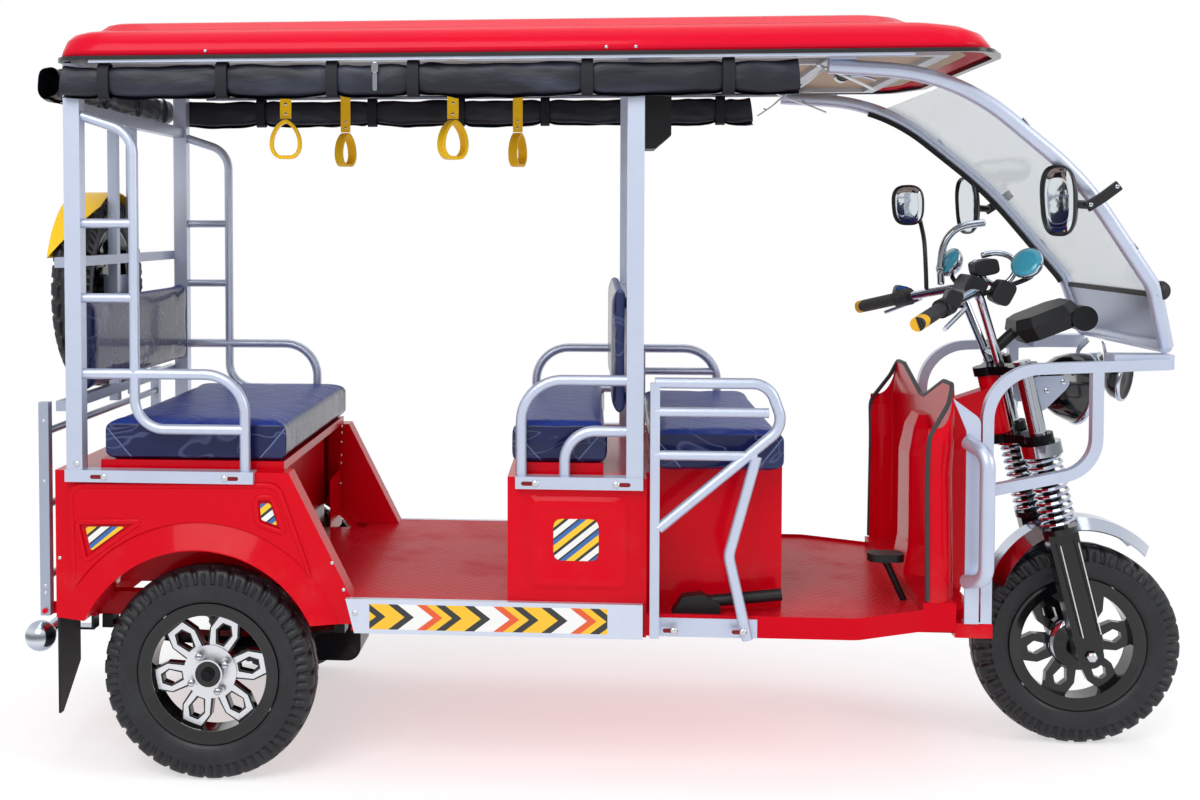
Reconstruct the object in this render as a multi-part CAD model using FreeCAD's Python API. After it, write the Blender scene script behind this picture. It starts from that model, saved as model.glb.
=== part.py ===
import FreeCAD, Part
import math
import os

V = FreeCAD.Vector

# Battery auto rickshaw with three wheels, open sides and a hard roof.
# Lengths are in millimetres. While drawing, x = 0 is the rear axle, +X is
# forward, y = 0 is the middle plane and z = 0 is the ground. At the end every
# piece moves back along X, so that the origin lies under the middle.

# Main sizes
wheelbase = 2106.0
body_half_width = 455.0
body_sheet = 3.0
full_turn = 360.0
moving_gap = 5.5
seat_gap = 0.3
same_point = 0.001

# Wheels
rear_wheel_set_in = 35.0
rear_half_track = body_half_width - rear_wheel_set_in
tyre_radius = 252.5
tyre_width = 95.0
tyre_tread_depth = 9.0
tyre_shoulder = 9.0
tyre_shoulder_drop = 5.0
tyre_block_reach = 38.0
tyre_block_count = 26
tyre_block_share = 0.6
sidewall_share = 0.45
tyre_crown_share = 0.35
bead_heel = 7.0
rim_flange_radius = 166.5
rim_flange_width = 76.0
rim_wall = 7.0
bead_gap = 0.2
rim_window_radius = 137.0
hub_radius = 34.0
hub_disc_radius = 63.0
hub_disc_thickness = 12.0
petal_count = 6
petal_root = 55.0
petal_wide_at = 98.0
petal_tip = 131.0
petal_root_half = 22.0
petal_wide_half = 33.0
petal_tip_half = 22.5
petal_bar = 11.5
petal_border = 4.0
petal_thickness = 22.0
petal_face_depth = 3.0
petal_twist = -10.0
wheel_nut_circle = 96.0
wheel_nut_radius = 8.5
wheel_nut_height = 8.0
wheel_nut_count = 4
wheel_nut_twist = -55.0
axle_bore_radius = 10.05
axle_radius = 10.0
axle_nut_height = 9.0
axle_nut_radius = 16.0

# Steering head and fork
rake = 13.2
steering_offset = 60.0
fork_half_track = 115.0
head_tube_radius = 25.0
head_tube_low = 556.0
head_tube_high = 706.0
head_gap = 1.0
yoke_thickness = 22.0
yoke_margin = 14.0
stem_radius = 12.0
stem_clearance = 0.05
fork_tube_radius = 20.5
fork_tube_top = 738.0
fork_leg_width = 72.0
fork_leg_thickness = 46.0
leg_toe_share = 0.86
spacer_radius = 16.0
brake_plate_radius = 62.0
brake_plate_thickness = 14.0
brake_plate_top_share = 0.55
spring_low = 322.0
spring_high = 525.0
spring_seat_radius = 42.0
spring_seat_height = 14.0
coil_radius = 39.0
coil_wire_radius = 4.2
coil_turns = 11
coil_steps = 16
coil_sides = 5
spring_cap_height = 30.0
spring_cap_radius = 48.0
spring_cap_wall = 3.5

# Front fender
fender_front_x = wheelbase + 171.0
fender_front_z = 502.0
fender_top_x = wheelbase + 6.0
fender_top_z = 573.0
fender_rear_x = wheelbase - 213.0
fender_rear_z = 408.0
fender_half_width = 62.0
fender_lip = 26.0
fender_sheet = 3.0
fender_stay_along = 285.0
stay_height = 14.0
stay_width = 40.0

# Handlebar, meter, lamp and mirrors
bar_radius = 11.0
bar_foot_y = 46.0
bar_foot_back = 36.0
bar_tie_up = 30.0
bar_tie_share = 0.9
bar_bend = 38.0
bar_knee_x = wheelbase - 270.0
bar_knee_y = 95.0
bar_knee_z = 1142.0
grip_radius = 17.0
grip_cap = 6.0
grip_end_x = wheelbase - 470.0
grip_end_y = 362.0
grip_end_z = 1076.0
grip_root_x = wheelbase - 394.0
grip_root_y = 250.0
grip_root_z = 1104.0
lever_from_share = 0.18
lever_reach = 150.0
lever_ahead = 48.0
lever_drop = 18.0
bar_lever_radius = 5.5
bar_lever_bend = 14.0
switch_length = 44.0
switch_radius = 23.0
meter_length = 165.0
meter_width = 170.0
meter_height = 62.0
meter_x = wheelbase - 86.0
meter_z = 1062.0
meter_tilt = 22.0
meter_base_share = 0.82
meter_lid_share = 0.86
meter_waist_share = 0.1
meter_cut = 34.0
meter_stalk_radius = 14.0
meter_barrel_radius = 31.0
meter_barrel_length = 52.0
meter_barrel_y = 48.0
meter_barrel_ahead = 78.0
meter_barrel_drop = 20.0
headlamp_radius = 90.0
headlamp_depth = 108.0
headlamp_x = wheelbase + 28.0
headlamp_z = 889.0
headlamp_rim = 14.0
headlamp_neck_share = 0.93
headlamp_bulge_share = 0.74
headlamp_lens = 8.0
headlamp_back_share = 0.34
headlamp_bulge_at_share = 0.62
arm_along = 640.0
arm_sheet = 5.0
arm_height = 50.0
arm_end_share = 0.6
arm_hole_radius = 7.0
arm_hole_shares = (0.4, 0.72)
arm_bolt_radius = 6.0
bar_mirror_x = wheelbase - 390.0
bar_mirror_y = 205.0
bar_mirror_z = 1352.0
bar_mirror_turn = 15.0
mirror_width = 86.0
mirror_height = 108.0
mirror_corner_share = 0.9
mirror_depth = 22.0
mirror_back_depth = 14.0
mirror_back_share = 0.62
mirror_socket_share = 0.8
mirror_stem_radius = 5.0
stem_knee_ahead = 70.0
stem_knee_out = 10.0
stem_knee_drop = 120.0
stem_foot_share = 0.36
frame_mirror_x = wheelbase - 194.0
frame_mirror_z = 1345.0
frame_mirror_turn = 12.0
frame_clamp_ahead = 22.0
frame_clamp_in = 10.0
mirror_arm_radius = 9.0

# Front sheet metal and guards
cowl_edge_x = wheelbase - 442.0
cowl_front_x = wheelbase - 376.0
cowl_set_in = 93.0
cowl_half_width = body_half_width - cowl_set_in
cowl_corner = 46.0
cowl_sheet = 6.0
cowl_low = 433.0
cowl_waist = 16.0
cowl_waist_z = 722.0
cowl_flare_z = 806.0
cowl_side_z = 822.0
cowl_peak_set_in = 50.0
cowl_peak_y = cowl_half_width - cowl_peak_set_in
cowl_peak_z = 931.0
cowl_valley_z = 873.0
lobe_share = 0.72
lobe_bend = 20.0
valley_half_width = 26.0
hump_levels_share = ((0.0, 1.3, 1.1), (0.19, 1.0, 1.0), (0.75, 1.0, 0.95), (0.92, 0.7, 0.8), (1.0, 0.35, 0.55))
hump_high = 828.0
hump_depth = 42.0
hump_half_width = 104.0
hump_front_share = 0.7
hump_bend_share = 0.4
guard_tube = 25.0
front_guard_set_in = 22.0
front_guard_y = cowl_half_width - front_guard_set_in
front_guard_x = wheelbase - 307.0
front_guard_low = 384.0
front_guard_high = 968.0
front_guard_bend = 120.0
front_guard_end = wheelbase + 94.0
front_guard_end_z = 986.0
drop_tube_x = wheelbase - 64.0
drop_tube_low = 742.0
drop_tube_foot_z = 690.0
drop_bend = 90.0
tie_length = 120.0
flat_bar_back = wheelbase - 357.0
flat_bar_front = wheelbase - 325.0
flat_bar_high = 858.0
flat_bar_tip_x = wheelbase - 388.0
flat_bar_tip_z = 905.0
flat_bar_drop = 28.0
flat_bar_sheet = 5.0
handle_radius = 17.0
handle_x = wheelbase - 354.0
handle_out_x = wheelbase - 326.0
handle_out = 70.0
handle_low = 482.0
handle_high = 805.0
handle_rise = 20.0
handle_bend = 40.0
horn_places = ((95.0, 70.0), (215.0, 80.0))
horn_z = 915.0
horn_radius = 48.0
horn_depth = 36.0
horn_face_share = 0.7
horn_back_share = 0.6
horn_stay = 22.0

# Floor and chassis
floor_z = 441.0
under_floor_z = 362.0
floor_wide_x = 250.0
rail_set_in = 163.0
rail_half_width = body_half_width - rail_set_in
rail_width = 40.0
rail_height = 57.0
sill_width = 40.0
bearer_sink = 12.0
neck_base = 84.0
neck_gap = 8.0
neck_width = 46.0
neck_drop = 30.0
neck_clear = 70.0
driver_floor_z = 410.0
driver_floor_low = 367.0
driver_rim = 7.0
driver_floor_bend_x = wheelbase - 616.0
driver_floor_bend = 60.0
step_ahead = 10.0

# Rear body
rear_panel_x = -363.0
rear_panel_top = 728.0
rear_panel_bottom = 378.0
rear_panel_front_top = 193.0
rear_panel_front_bottom = 338.0
rear_panel_thickness = 16.0
arch_x = -20.0
arch_radius = 295.0
flare_radius = 357.0
flare_out = 25.0
tub_clearance = 41.5
tub_half_width = rear_half_track - tyre_width / 2 - tub_clearance
gusset_depth = 62.0
board_set_back = 16.0
panel_press = 4.0
panel_field = ((-326.0, 455.0), (258.0, 455.0), (168.0, 695.0), (-326.0, 695.0))
panel_field_bend = 14.0
panel_pockets = (
    ((-310.0, 608.0), (-158.0, 608.0), (-290.0, 514.0)),
    ((112.0, 672.0), (152.0, 672.0), (180.0, 590.0), (122.0, 612.0)),
)
panel_pocket_bend = 6.0

# Seats and their boxes, placed back from the leg shield
driver_leg_room = 329.0
driver_box_length = 317.0
middle_box_length = 317.0
driver_box_front = cowl_edge_x - driver_leg_room
middle_box_front = driver_box_front - driver_box_length
middle_box_back = middle_box_front - middle_box_length
middle_box_top = 727.0
driver_box_set_in = 115.0
driver_box_half_width = body_half_width - driver_box_set_in
driver_box_top = 722.0
box_press_low = 469.0
box_press_high = 686.0
box_press_back = 44.0
box_press_front = 38.0
box_press = 7.0
box_press_edge = 12.0
box_well_inset = 26.0
box_well_wall = 32.0
box_press_bend = 20.0
cushion_set_in = 25.0
cushion_half_width = body_half_width - cushion_set_in
cushion_corner = 18.0
cushion_corner_share = 0.33
board_half = cushion_half_width - board_set_back
rear_cushion_back = -266.0
rear_cushion_front = 190.0
rear_cushion_low = 748.0
rear_cushion_high = 841.0
rear_back_front = -288.0
rear_back_thickness = 42.0
rear_back_low = 902.0
rear_back_high = 1138.0
middle_cushion_front = middle_box_front - 82.0
middle_cushion_low = 754.0
middle_cushion_high = 847.0
driver_cushion_back = middle_box_front + 6.0
driver_cushion_front = driver_box_front + 5.0
driver_cushion_low = 742.0
driver_cushion_high = 831.0
seat_side_gap = 4.0

# Posts and side frames
post_size = 38.0
post_proud = 14.0
post_outer = body_half_width + post_proud
post_centre = post_outer - post_size / 2
post_top = 1676.0
rear_post_x = -311.0
middle_post_x = middle_box_front - 28.0
middle_back_x = middle_post_x - 49.0
middle_back_thickness = 30.0
middle_back_low = 862.0
middle_back_high = 1168.0
middle_back_half_width = post_outer - post_size - seat_gap
bracket_sheet = 3.0
bracket_height = 25.0
tube_radius = 12.5
loop_radius = 12.0
rung_radius = 11.0
rear_bracket_back = -334.0
rear_bracket_front = 113.0
rear_arm_z = 955.0
rear_arm_x = 90.0
rear_loop_z = 826.0
ladder_x = -171.0
ladder_high = 1556.0
ladder_bend_z = 1516.0
ladder_rungs = (1306.0, 1132.0)
arm_bend = 95.0
loop_bend = 70.0
middle_arm_z = 949.0
middle_arm_x = middle_box_back + 31.0
middle_loop_z = 833.0
middle_loop_x = middle_box_back + 130.0
back_bar = 24.0
back_bar_in = 44.0
guard_x = middle_box_front + 17.0
guard_y = body_half_width + bracket_sheet + rung_radius
guard_size = 21.0
guard_top = 947.0
guard_nose_x = guard_x + 287.0
guard_nose_z = 852.0
guard_shoulder_x = guard_x + 253.0
guard_low_x = guard_x + 9.0
guard_low_z = 616.0
guard_rungs = (881.0, 783.0)
guard_rung_x = guard_x + 227.0
guard_brace_x = guard_x + 166.0
guard_brace_z = 557.0
guard_foot_x = guard_x + 209.0
guard_plate_front = guard_x + 232.0
guard_bend = 52.0
foot_plate_height = 43.0
left_arm_front = guard_x + 215.0
sill_front = middle_box_front - 9.0
sill_run = 10.0

# Roof
roof_rear = -335.0
roof_front = wheelbase - 306.0
roof_overhang = 51.0
roof_half_width = post_outer + roof_overhang
roof_edge_z = 1686.0
roof_shoulder_z = 1776.0
roof_top_z = 1812.0
roof_shoulder_in = 62.0
roof_top_in = 150.0
roof_corner = 70.0
roof_corner_share = 0.33
roof_sheet = 5.0
roof_front_share = 1.6
roof_bow = 60.0
roof_bow_share = 0.72
roof_crown_step = 40.0
roof_trim_height = 9.0
roof_trim_out = 6.0
roof_rail_width = 30.0
roof_rail_height = 24.0
liner_sheet = 4.0
cross_beam_z = 1572.0
roll_height = 88.0
roll_thickness = 44.0
roll_bend_share = 0.45
roll_clearance = 0.5
roll_front = wheelbase - 761.0
roll_rear = -321.0
rear_roll_thickness = 66.0
loop_places_share = ((0.194, -1), (0.212, 1), (0.362, -1), (0.412, 1))
loop_set_in = 169.0
loop_y = post_outer - loop_set_in
loop_strap_width = 26.0
loop_strap_thickness = 4.0
loop_low = 1458.0
loop_ring = 33.0
ceiling_box_x = middle_box_front - 1.0
ceiling_box_y = 200.0
ceiling_box_length = 62.0
ceiling_box_width = 120.0
ceiling_box_low = 1516.0
ceiling_box_foot = 32.0
ceiling_box_foot_share = 0.4

# Windshield
screen_tube_radius = 17.0
screen_top_x = wheelbase - 686.0
screen_flange_length = 60.0
screen_flange_sheet = 4.0
screen_top_y = post_outer - 49.0
screen_brow_x = wheelbase - 406.0
screen_brow_z = 1640.0
screen_brow_y = post_outer - 55.0
screen_mid_x = wheelbase - 121.0
screen_mid_z = 1405.0
screen_mid_y = post_outer - 77.0
screen_knee_x = wheelbase + 66.0
screen_knee_z = 1160.0
screen_knee_y = post_outer - 151.0
screen_low_x = wheelbase + 105.0
screen_low_z = 1022.0
screen_low_y = post_outer - 179.0
screen_brow_bend = 480.0
screen_mid_bend = 700.0
screen_knee_bend = 130.0
screen_lean_share = 0.6
screen_beam_share = 0.9
glass_sheet = 4.0
glass_high = 1618.0
glass_low = 1140.0
panel_low = 1036.0
panel_gap = 2.0
frame_mirror_out = 33.0
frame_mirror_y = screen_mid_y + frame_mirror_out

# Rear pieces
bumper_x = -423.0
bumper_z = 318.0
bumper_set_in = 55.0
bumper_y = body_half_width - bumper_set_in
bumper_tube_radius = 16.0
bumper_ball_radius = 37.0
flap_set_in = 3.0
flap_low = 150.0
flap_width = 137.0
flap_foot_z = 238.0
flap_tip_width = 18.0
flap_sheet = 6.0
carrier_x = -391.0
carrier_width = 24.0
carrier_set_in = 15.0
carrier_y = body_half_width - carrier_set_in
carrier_pivot_z = 393.0
carrier_top = 886.0
carrier_bars = (470.0, 640.0, 815.0)
carrier_bar_radius = 9.0
carrier_pin_radius = 6.0
pin_proud = 6.0
pin_clearance = 0.05
lug_gap = 5.5
lug_sheet = 6.0
lug_reach = 12.0
lug_half = 14.0
tail_lamp_set_in = 125.0
tail_lamp_y = body_half_width - tail_lamp_set_in
tail_lamp_width = 130.0
tail_lamp_height = 60.0
tail_lamp_depth = 9.0
tail_lamp_z = 560.0

# Rear axle and springs
hub_gap = 2.0
axle_tube_radius = 30.0
motor_length = 300.0
motor_width = 150.0
motor_height = 150.0
motor_bend = 36.0
leaf_count = 4
leaf_half_length = 300.0
leaf_width = 50.0
leaf_sheet = 7.0
leaf_eye_z = 332.0
hanger_length = 26.0

# Spare wheel
spare_x = -408.0
spare_z = 1130.0
cover_gap = 3.0
cover_sheet = 3.0
cover_window_radius = 168.0
cover_low = 90.0
cover_rise = 130.0
carrier_tube = 24.0
carrier_base = 120.0
spare_upright_y = 75.0
spare_bar_low = 880.0
spare_bar_high = 1215.0
spare_plate_half = 40.0

# Driver's controls
pedal_x = wheelbase - 558.0
pedal_set_in = 112.0
pedal_y = cowl_half_width - pedal_set_in
pedal_z = 505.0
pedal_length = 84.0
pedal_width = 60.0
pedal_thickness = 18.0
pedal_bend = 24.0
pedal_foot_x = wheelbase - 472.0
pedal_arm = 8.0
lever_x = middle_box_front + 60.0
lever_set_in = 57.0
lever_y = body_half_width - lever_set_in
lever_base_length = 110.0
lever_base_width = 40.0
lever_base_height = 44.0
lever_base_bend = 9.0
lever_base_shares = ((0.0, 0.0), (1.0, 0.0), (1.0, 0.55), (0.62, 1.0), (0.22, 0.85))
lever_length = 250.0
lever_radius = 14.0


def block(x0, x1, y0, y1, z0, z1):
    """A box between two corners."""
    return Part.makeBox(x1 - x0, y1 - y0, z1 - z0, V(x0, y0, z0))


def rod(start, end, radius):
    """A round bar from one point to another."""
    along = end - start
    return Part.makeCylinder(radius, along.Length, start, along)


def join(pieces):
    """One solid from pieces that touch."""
    return pieces[0].multiFuse(pieces[1:]).removeSplitter()


def mirrored(shape):
    """The same shape on the other side of the middle plane."""
    return shape.mirror(V(0, 0, 0), V(0, 1, 0))


def both(shape):
    """A right-hand piece with its left-hand twin."""
    return Part.makeCompound([shape, mirrored(shape)])


def route(points, bends):
    """Straight runs through the points, joined by tangent arcs."""
    edges = []
    start = points[0]
    for before, corner, after, bend in zip(points, points[1:], points[2:], bends):
        back = (before - corner).normalize()
        ahead = (after - corner).normalize()
        half = back.getAngle(ahead) / 2
        reach = bend / math.tan(half)
        inward = (back + ahead).normalize()
        centre = corner + inward * (bend / math.sin(half))
        enter = corner + back * reach
        leave = corner + ahead * reach
        edges.append(Part.LineSegment(start, enter).toShape())
        edges.append(Part.Arc(enter, centre - inward * bend, leave).toShape())
        start = leave
    edges.append(Part.LineSegment(start, points[-1]).toShape())
    return Part.Wire(edges)


def tube(points, bends, radius):
    """A round tube, drawn as a bar, along straight runs and bends."""
    path = route(points, bends)
    ring = Part.Wire(Part.makeCircle(radius, points[0], points[1] - points[0]))
    return path.makePipeShell([ring], True, False)


def box_tube(points, bends, side):
    """A square tube along a route in a plane of constant y."""
    path = route(points, bends)
    along = (points[1] - points[0]).normalize()
    across = V(0, side / 2, 0)
    up = along.cross(V(0, 1, 0)) * (side / 2)
    start = points[0]
    corners = [start + across + up, start - across + up, start - across - up, start + across - up]
    ring = Part.makePolygon(corners + corners[:1])
    return path.makePipeShell([ring], True, False)


def closed(points, bends):
    """A closed outline whose corners are rounded by the given radii, zero for sharp."""
    edges = []
    count = len(points)
    enters = []
    leaves = []
    arcs = []
    for index in range(count):
        corner = points[index]
        bend = bends[index]
        if bend:
            back = (points[index - 1] - corner).normalize()
            ahead = (points[(index + 1) % count] - corner).normalize()
            half = back.getAngle(ahead) / 2
            inward = (back + ahead).normalize()
            centre = corner + inward * (bend / math.sin(half))
            enters.append(corner + back * (bend / math.tan(half)))
            leaves.append(corner + ahead * (bend / math.tan(half)))
            arcs.append(Part.Arc(enters[-1], centre - inward * bend, leaves[-1]).toShape())
        else:
            enters.append(corner)
            leaves.append(corner)
            arcs.append(None)
    for index in range(count):
        if arcs[index]:
            edges.append(arcs[index])
        edges.append(Part.LineSegment(leaves[index], enters[(index + 1) % count]).toShape())
    return Part.Wire(edges)


def plate(outline, bends, y0, y1):
    """A plate with an outline in X and Z, between two values of y."""
    corners = [V(x, y0, z) for x, z in outline]
    return Part.Face(closed(corners, bends)).extrude(V(0, y1 - y0, 0))


def cushion(x0, x1, half_width, z0, z1):
    """A plain padded block with rounded long edges."""
    corners = [V(x0, -half_width, z0), V(x1, -half_width, z0), V(x1, -half_width, z1), V(x0, -half_width, z1)]
    bend = min(cushion_corner, (x1 - x0) * cushion_corner_share, (z1 - z0) * cushion_corner_share)
    return Part.Face(closed(corners, [bend] * 4)).extrude(V(0, 2 * half_width, 0))


def spun(profile, centre):
    """A solid of revolution about a line along Y; the profile is given as (radius, y) pairs."""
    corners = [V(radius, y, 0) for radius, y in profile]
    face = Part.Face(Part.makePolygon(corners + corners[:1]))
    solid = face.revolve(V(0, 0, 0), V(0, 1, 0), full_turn)
    solid.translate(centre)
    return solid


def facet(corners):
    """A flat face on its corners, or none where so many of them meet that nothing is left."""
    kept = []
    for corner in corners:
        if not any(corner.isEqual(other, same_point) for other in kept):
            kept.append(corner)
    if len(kept) < 3:
        return []
    return [Part.Face(Part.makePolygon(kept + kept[:1]))]


def filled(faces):
    """The solid inside a closed skin of faces."""
    solid = Part.makeSolid(Part.makeShell(faces))
    if solid.Volume < 0:
        solid.reverse()
    return solid


# Wheels

def tyre_outline(depth):
    """A tyre's cross-section as (radius, y) pairs, its shoulder cut down by a depth."""
    half = tyre_width / 2
    wider = max(tyre_block_share, 1 - tyre_block_share)
    inner = rim_flange_radius / math.cos(math.pi * wider / tyre_block_count) + bead_gap
    bead = rim_flange_width / 2
    wide = inner + (tyre_radius - inner) * sidewall_share
    right_side = [
        (inner, -bead),
        (inner + bead_heel, -bead - bead_heel / 2),
        (wide, -half),
        (tyre_radius - tyre_block_reach, -half),
        (tyre_radius - tyre_shoulder_drop - depth, -half + tyre_shoulder + depth / 2),
        (tyre_radius, -half * tyre_crown_share),
    ]
    return right_side + [(radius, -y) for radius, y in reversed(right_side)]


def tyre():
    """A tyre round the Y axis, with blocks and grooves alternating along both shoulders."""
    rows = []
    for index in range(tyre_block_count):
        for share, depth in (
                (0, tyre_tread_depth), (0, 0), (tyre_block_share, 0), (tyre_block_share, tyre_tread_depth)):
            turn = math.radians(full_turn * (index + share) / tyre_block_count)
            rows.append([V(radius * math.cos(turn), y, radius * math.sin(turn)) for radius, y in tyre_outline(depth)])
    faces = []
    for row, after in zip(rows, rows[1:] + rows[:1]):
        for place in range(len(row)):
            faces += facet([row[place - 1], row[place], after[place], after[place - 1]])
    return filled(faces)


def petal_outline(grow, y):
    """A petal's six-sided outline, larger all round by a distance, at a value of y."""
    right_side = [
        (petal_root - grow, -petal_root_half - grow),
        (petal_wide_at, -petal_wide_half - grow),
        (petal_tip + grow, -petal_tip_half - grow),
    ]
    points = right_side + [(x, -z) for x, z in reversed(right_side)]
    return Part.Face(Part.makePolygon([V(x, y, z) for x, z in points + points[:1]]))


def petal(angle):
    """One loop-shaped spoke: a broad backing with a narrower raised face on its -Y side."""
    back = petal_thickness / 2
    depth = V(0, petal_thickness, 0)
    tip = block(petal_tip, rim_window_radius + rim_wall, -petal_tip_half, petal_tip_half, -back, back)
    tip.rotate(V(0, 0, 0), V(1, 0, 0), full_turn / 4)
    backing = petal_outline(petal_border, -back).extrude(depth)
    window = petal_outline(-petal_bar - petal_border, -back).extrude(depth)
    front = V(0, -petal_face_depth, 0)
    face = petal_outline(0, -back).extrude(front).cut(petal_outline(-petal_bar, -back).extrude(front))
    solid = join([join([backing, tip]).cut(window), face])
    solid.rotate(V(0, 0, 0), V(0, 1, 0), angle)
    return solid


def rim():
    """A cast rim round the Y axis with petal spokes, its bright face to -Y."""
    half = rim_flange_width / 2
    seat = rim_flange_radius - rim_wall
    barrel = spun([
        (rim_window_radius, -half + rim_wall),
        (seat, -half),
        (rim_flange_radius, -half),
        (rim_flange_radius, -half + rim_wall),
        (rim_window_radius + rim_wall * 2, -half + rim_wall * 3),
        (rim_window_radius + rim_wall * 2, half - rim_wall * 3),
        (rim_flange_radius, half - rim_wall),
        (rim_flange_radius, half),
        (seat, half),
        (rim_window_radius, half - rim_wall),
    ], V(0, 0, 0))
    face = petal_thickness / 2 + hub_disc_thickness / 2
    disc = spun([
        (axle_bore_radius, -half),
        (hub_radius, -half),
        (hub_radius, -face),
        (hub_disc_radius, -face),
        (hub_disc_radius, face),
        (hub_radius, face),
        (hub_radius, half),
        (axle_bore_radius, half),
    ], V(0, 0, 0))
    pieces = [barrel, disc]
    for index in range(petal_count):
        pieces.append(petal(petal_twist + full_turn * index / petal_count))
    for index in range(wheel_nut_count):
        turn = math.radians(wheel_nut_twist + full_turn * index / wheel_nut_count)
        at = V(math.cos(turn) * wheel_nut_circle / 2, -face, math.sin(turn) * wheel_nut_circle / 2)
        pieces.append(rod(at, at - V(0, wheel_nut_height, 0), wheel_nut_radius))
    return join(pieces)


def moved(shape, place):
    """A copy of a shape at a place."""
    copy = shape.copy()
    copy.translate(place)
    return copy


# Fork frame: distances along the fork legs from the front axle
lean = math.radians(rake)
front_axle = V(wheelbase, 0, tyre_radius)
up_fork = V(-math.sin(lean), 0, math.cos(lean))
back_fork = V(-math.cos(lean), 0, -math.sin(lean))


def on_leg(along, y):
    """A point on a fork leg's axis."""
    return front_axle + up_fork * along + V(0, y, 0)


def on_head(along, y):
    """A point beside the steering axis."""
    return on_leg(along, y) + back_fork * steering_offset


def yoke(along):
    """One fork yoke: a waisted plate from leg to leg round the steering axis."""
    reach = fork_tube_radius + yoke_margin
    pieces = [rod(on_head(along, 0), on_head(along + yoke_thickness, 0), head_tube_radius + yoke_margin / 2)]
    for y in (-fork_half_track, fork_half_track):
        pieces.append(rod(on_leg(along, y), on_leg(along + yoke_thickness, y), reach))
        start = on_leg(along, y)
        toward = on_head(along, 0)
        side = back_fork * fork_tube_radius
        corners = [start + side, start - side, toward - side, toward + side]
        face = Part.Face(Part.makePolygon(corners + corners[:1]))
        pieces.append(face.extrude(up_fork * yoke_thickness))
    solid = join(pieces)
    for y in (-fork_half_track, fork_half_track):
        solid = solid.cut(rod(on_leg(along, y), on_leg(along + yoke_thickness, y), fork_tube_radius))
    return solid


def fork_yokes():
    low = yoke(head_tube_low - head_gap - yoke_thickness)
    high = yoke(head_tube_high + head_gap)
    stem = rod(on_head(head_tube_low - head_gap - yoke_thickness, 0),
               on_head(head_tube_high + head_gap + yoke_thickness, 0), stem_radius)
    return join([low, high, stem])


def head_tube():
    """The steering head's tube with its bore for the stem."""
    outer = rod(on_head(head_tube_low, 0), on_head(head_tube_high, 0), head_tube_radius)
    bore = rod(on_head(head_tube_low, 0), on_head(head_tube_high, 0), stem_radius + stem_clearance)
    return outer, bore


def fork_leg(y):
    """A lower leg: a flattened casting with a round toe at the axle and a round seat for the spring."""
    half = fork_leg_width / 2
    thick = V(0, fork_leg_thickness, 0)
    base = V(0, y - fork_leg_thickness / 2, 0)
    low = front_axle + base
    high = front_axle + up_fork * (spring_low - spring_seat_height) + base
    side = back_fork * half
    neck = side * leg_toe_share
    corners = [high + side, high - side, low - neck, low + neck]
    blade = Part.Face(Part.makePolygon(corners + corners[:1])).extrude(thick)
    toe = rod(low, low + thick, half * leg_toe_share)
    seat = rod(on_leg(spring_low - spring_seat_height, y), on_leg(spring_low, y), spring_seat_radius)
    return join([blade, toe, seat])


def fork_legs():
    pieces = []
    for y in (-fork_half_track, fork_half_track):
        bar = rod(on_leg(spring_low - spring_seat_height, y), on_leg(fork_tube_top, y), fork_tube_radius)
        pieces.append(join([fork_leg(y), bar]))
    spindle = rod(on_leg(0, -fork_half_track - fork_leg_thickness / 2 - axle_nut_height),
                  on_leg(0, fork_half_track + fork_leg_thickness / 2 + axle_nut_height), axle_radius)
    for side in (-1, 1):
        face = side * (fork_half_track - fork_leg_thickness / 2)
        near = side * (rim_flange_width / 2 + moving_gap)
        pieces.append(rod(on_leg(0, face), on_leg(0, near), spacer_radius))
    plate_y = -rim_flange_width / 2 - moving_gap
    pieces.append(Part.makeCone(brake_plate_radius, brake_plate_radius * brake_plate_top_share, brake_plate_thickness,
                                on_leg(0, plate_y), V(0, -1, 0)))
    return join(pieces + [spindle])


def coil(low, high, y):
    """A round wire wound round a fork leg between two heights: rings of points carried up a helix and
    joined by triangles."""
    rows = []
    steps = coil_turns * coil_steps
    for index in range(steps + 1):
        turn = math.radians(full_turn * index / coil_steps)
        out = V(0, math.cos(turn), 0) + back_fork * math.sin(turn)
        centre = on_leg(low + (high - low) * index / steps, y) + out * coil_radius
        row = []
        for side in range(coil_sides):
            angle = math.radians(full_turn * side / coil_sides)
            row.append(centre + out * (coil_wire_radius * math.cos(angle))
                       + up_fork * (coil_wire_radius * math.sin(angle)))
        rows.append(row)
    faces = facet(rows[0]) + facet(rows[-1])
    for row, after in zip(rows, rows[1:]):
        for place in range(coil_sides):
            faces += facet([row[place - 1], row[place], after[place]])
            faces += facet([row[place - 1], after[place], after[place - 1]])
    return filled(faces)


def fork_springs():
    """The coil springs round the fork tubes and the cups that close them under the lower yoke."""
    pieces = []
    cup_high = head_tube_low - head_gap - yoke_thickness
    cup_low = cup_high - spring_cap_height
    for y in (-fork_half_track, fork_half_track):
        margin = coil_wire_radius + seat_gap
        pieces.append(coil(spring_low + margin, spring_high - margin, y))
        cup = rod(on_leg(cup_low, y), on_leg(cup_high, y), spring_cap_radius)
        hollow = rod(on_leg(cup_low, y), on_leg(spring_high, y), spring_cap_radius - spring_cap_wall)
        bore = rod(on_leg(cup_low, y), on_leg(cup_high, y), fork_tube_radius)
        pieces.append(cup.cut(hollow).cut(bore))
    return Part.makeCompound(pieces)


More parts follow.
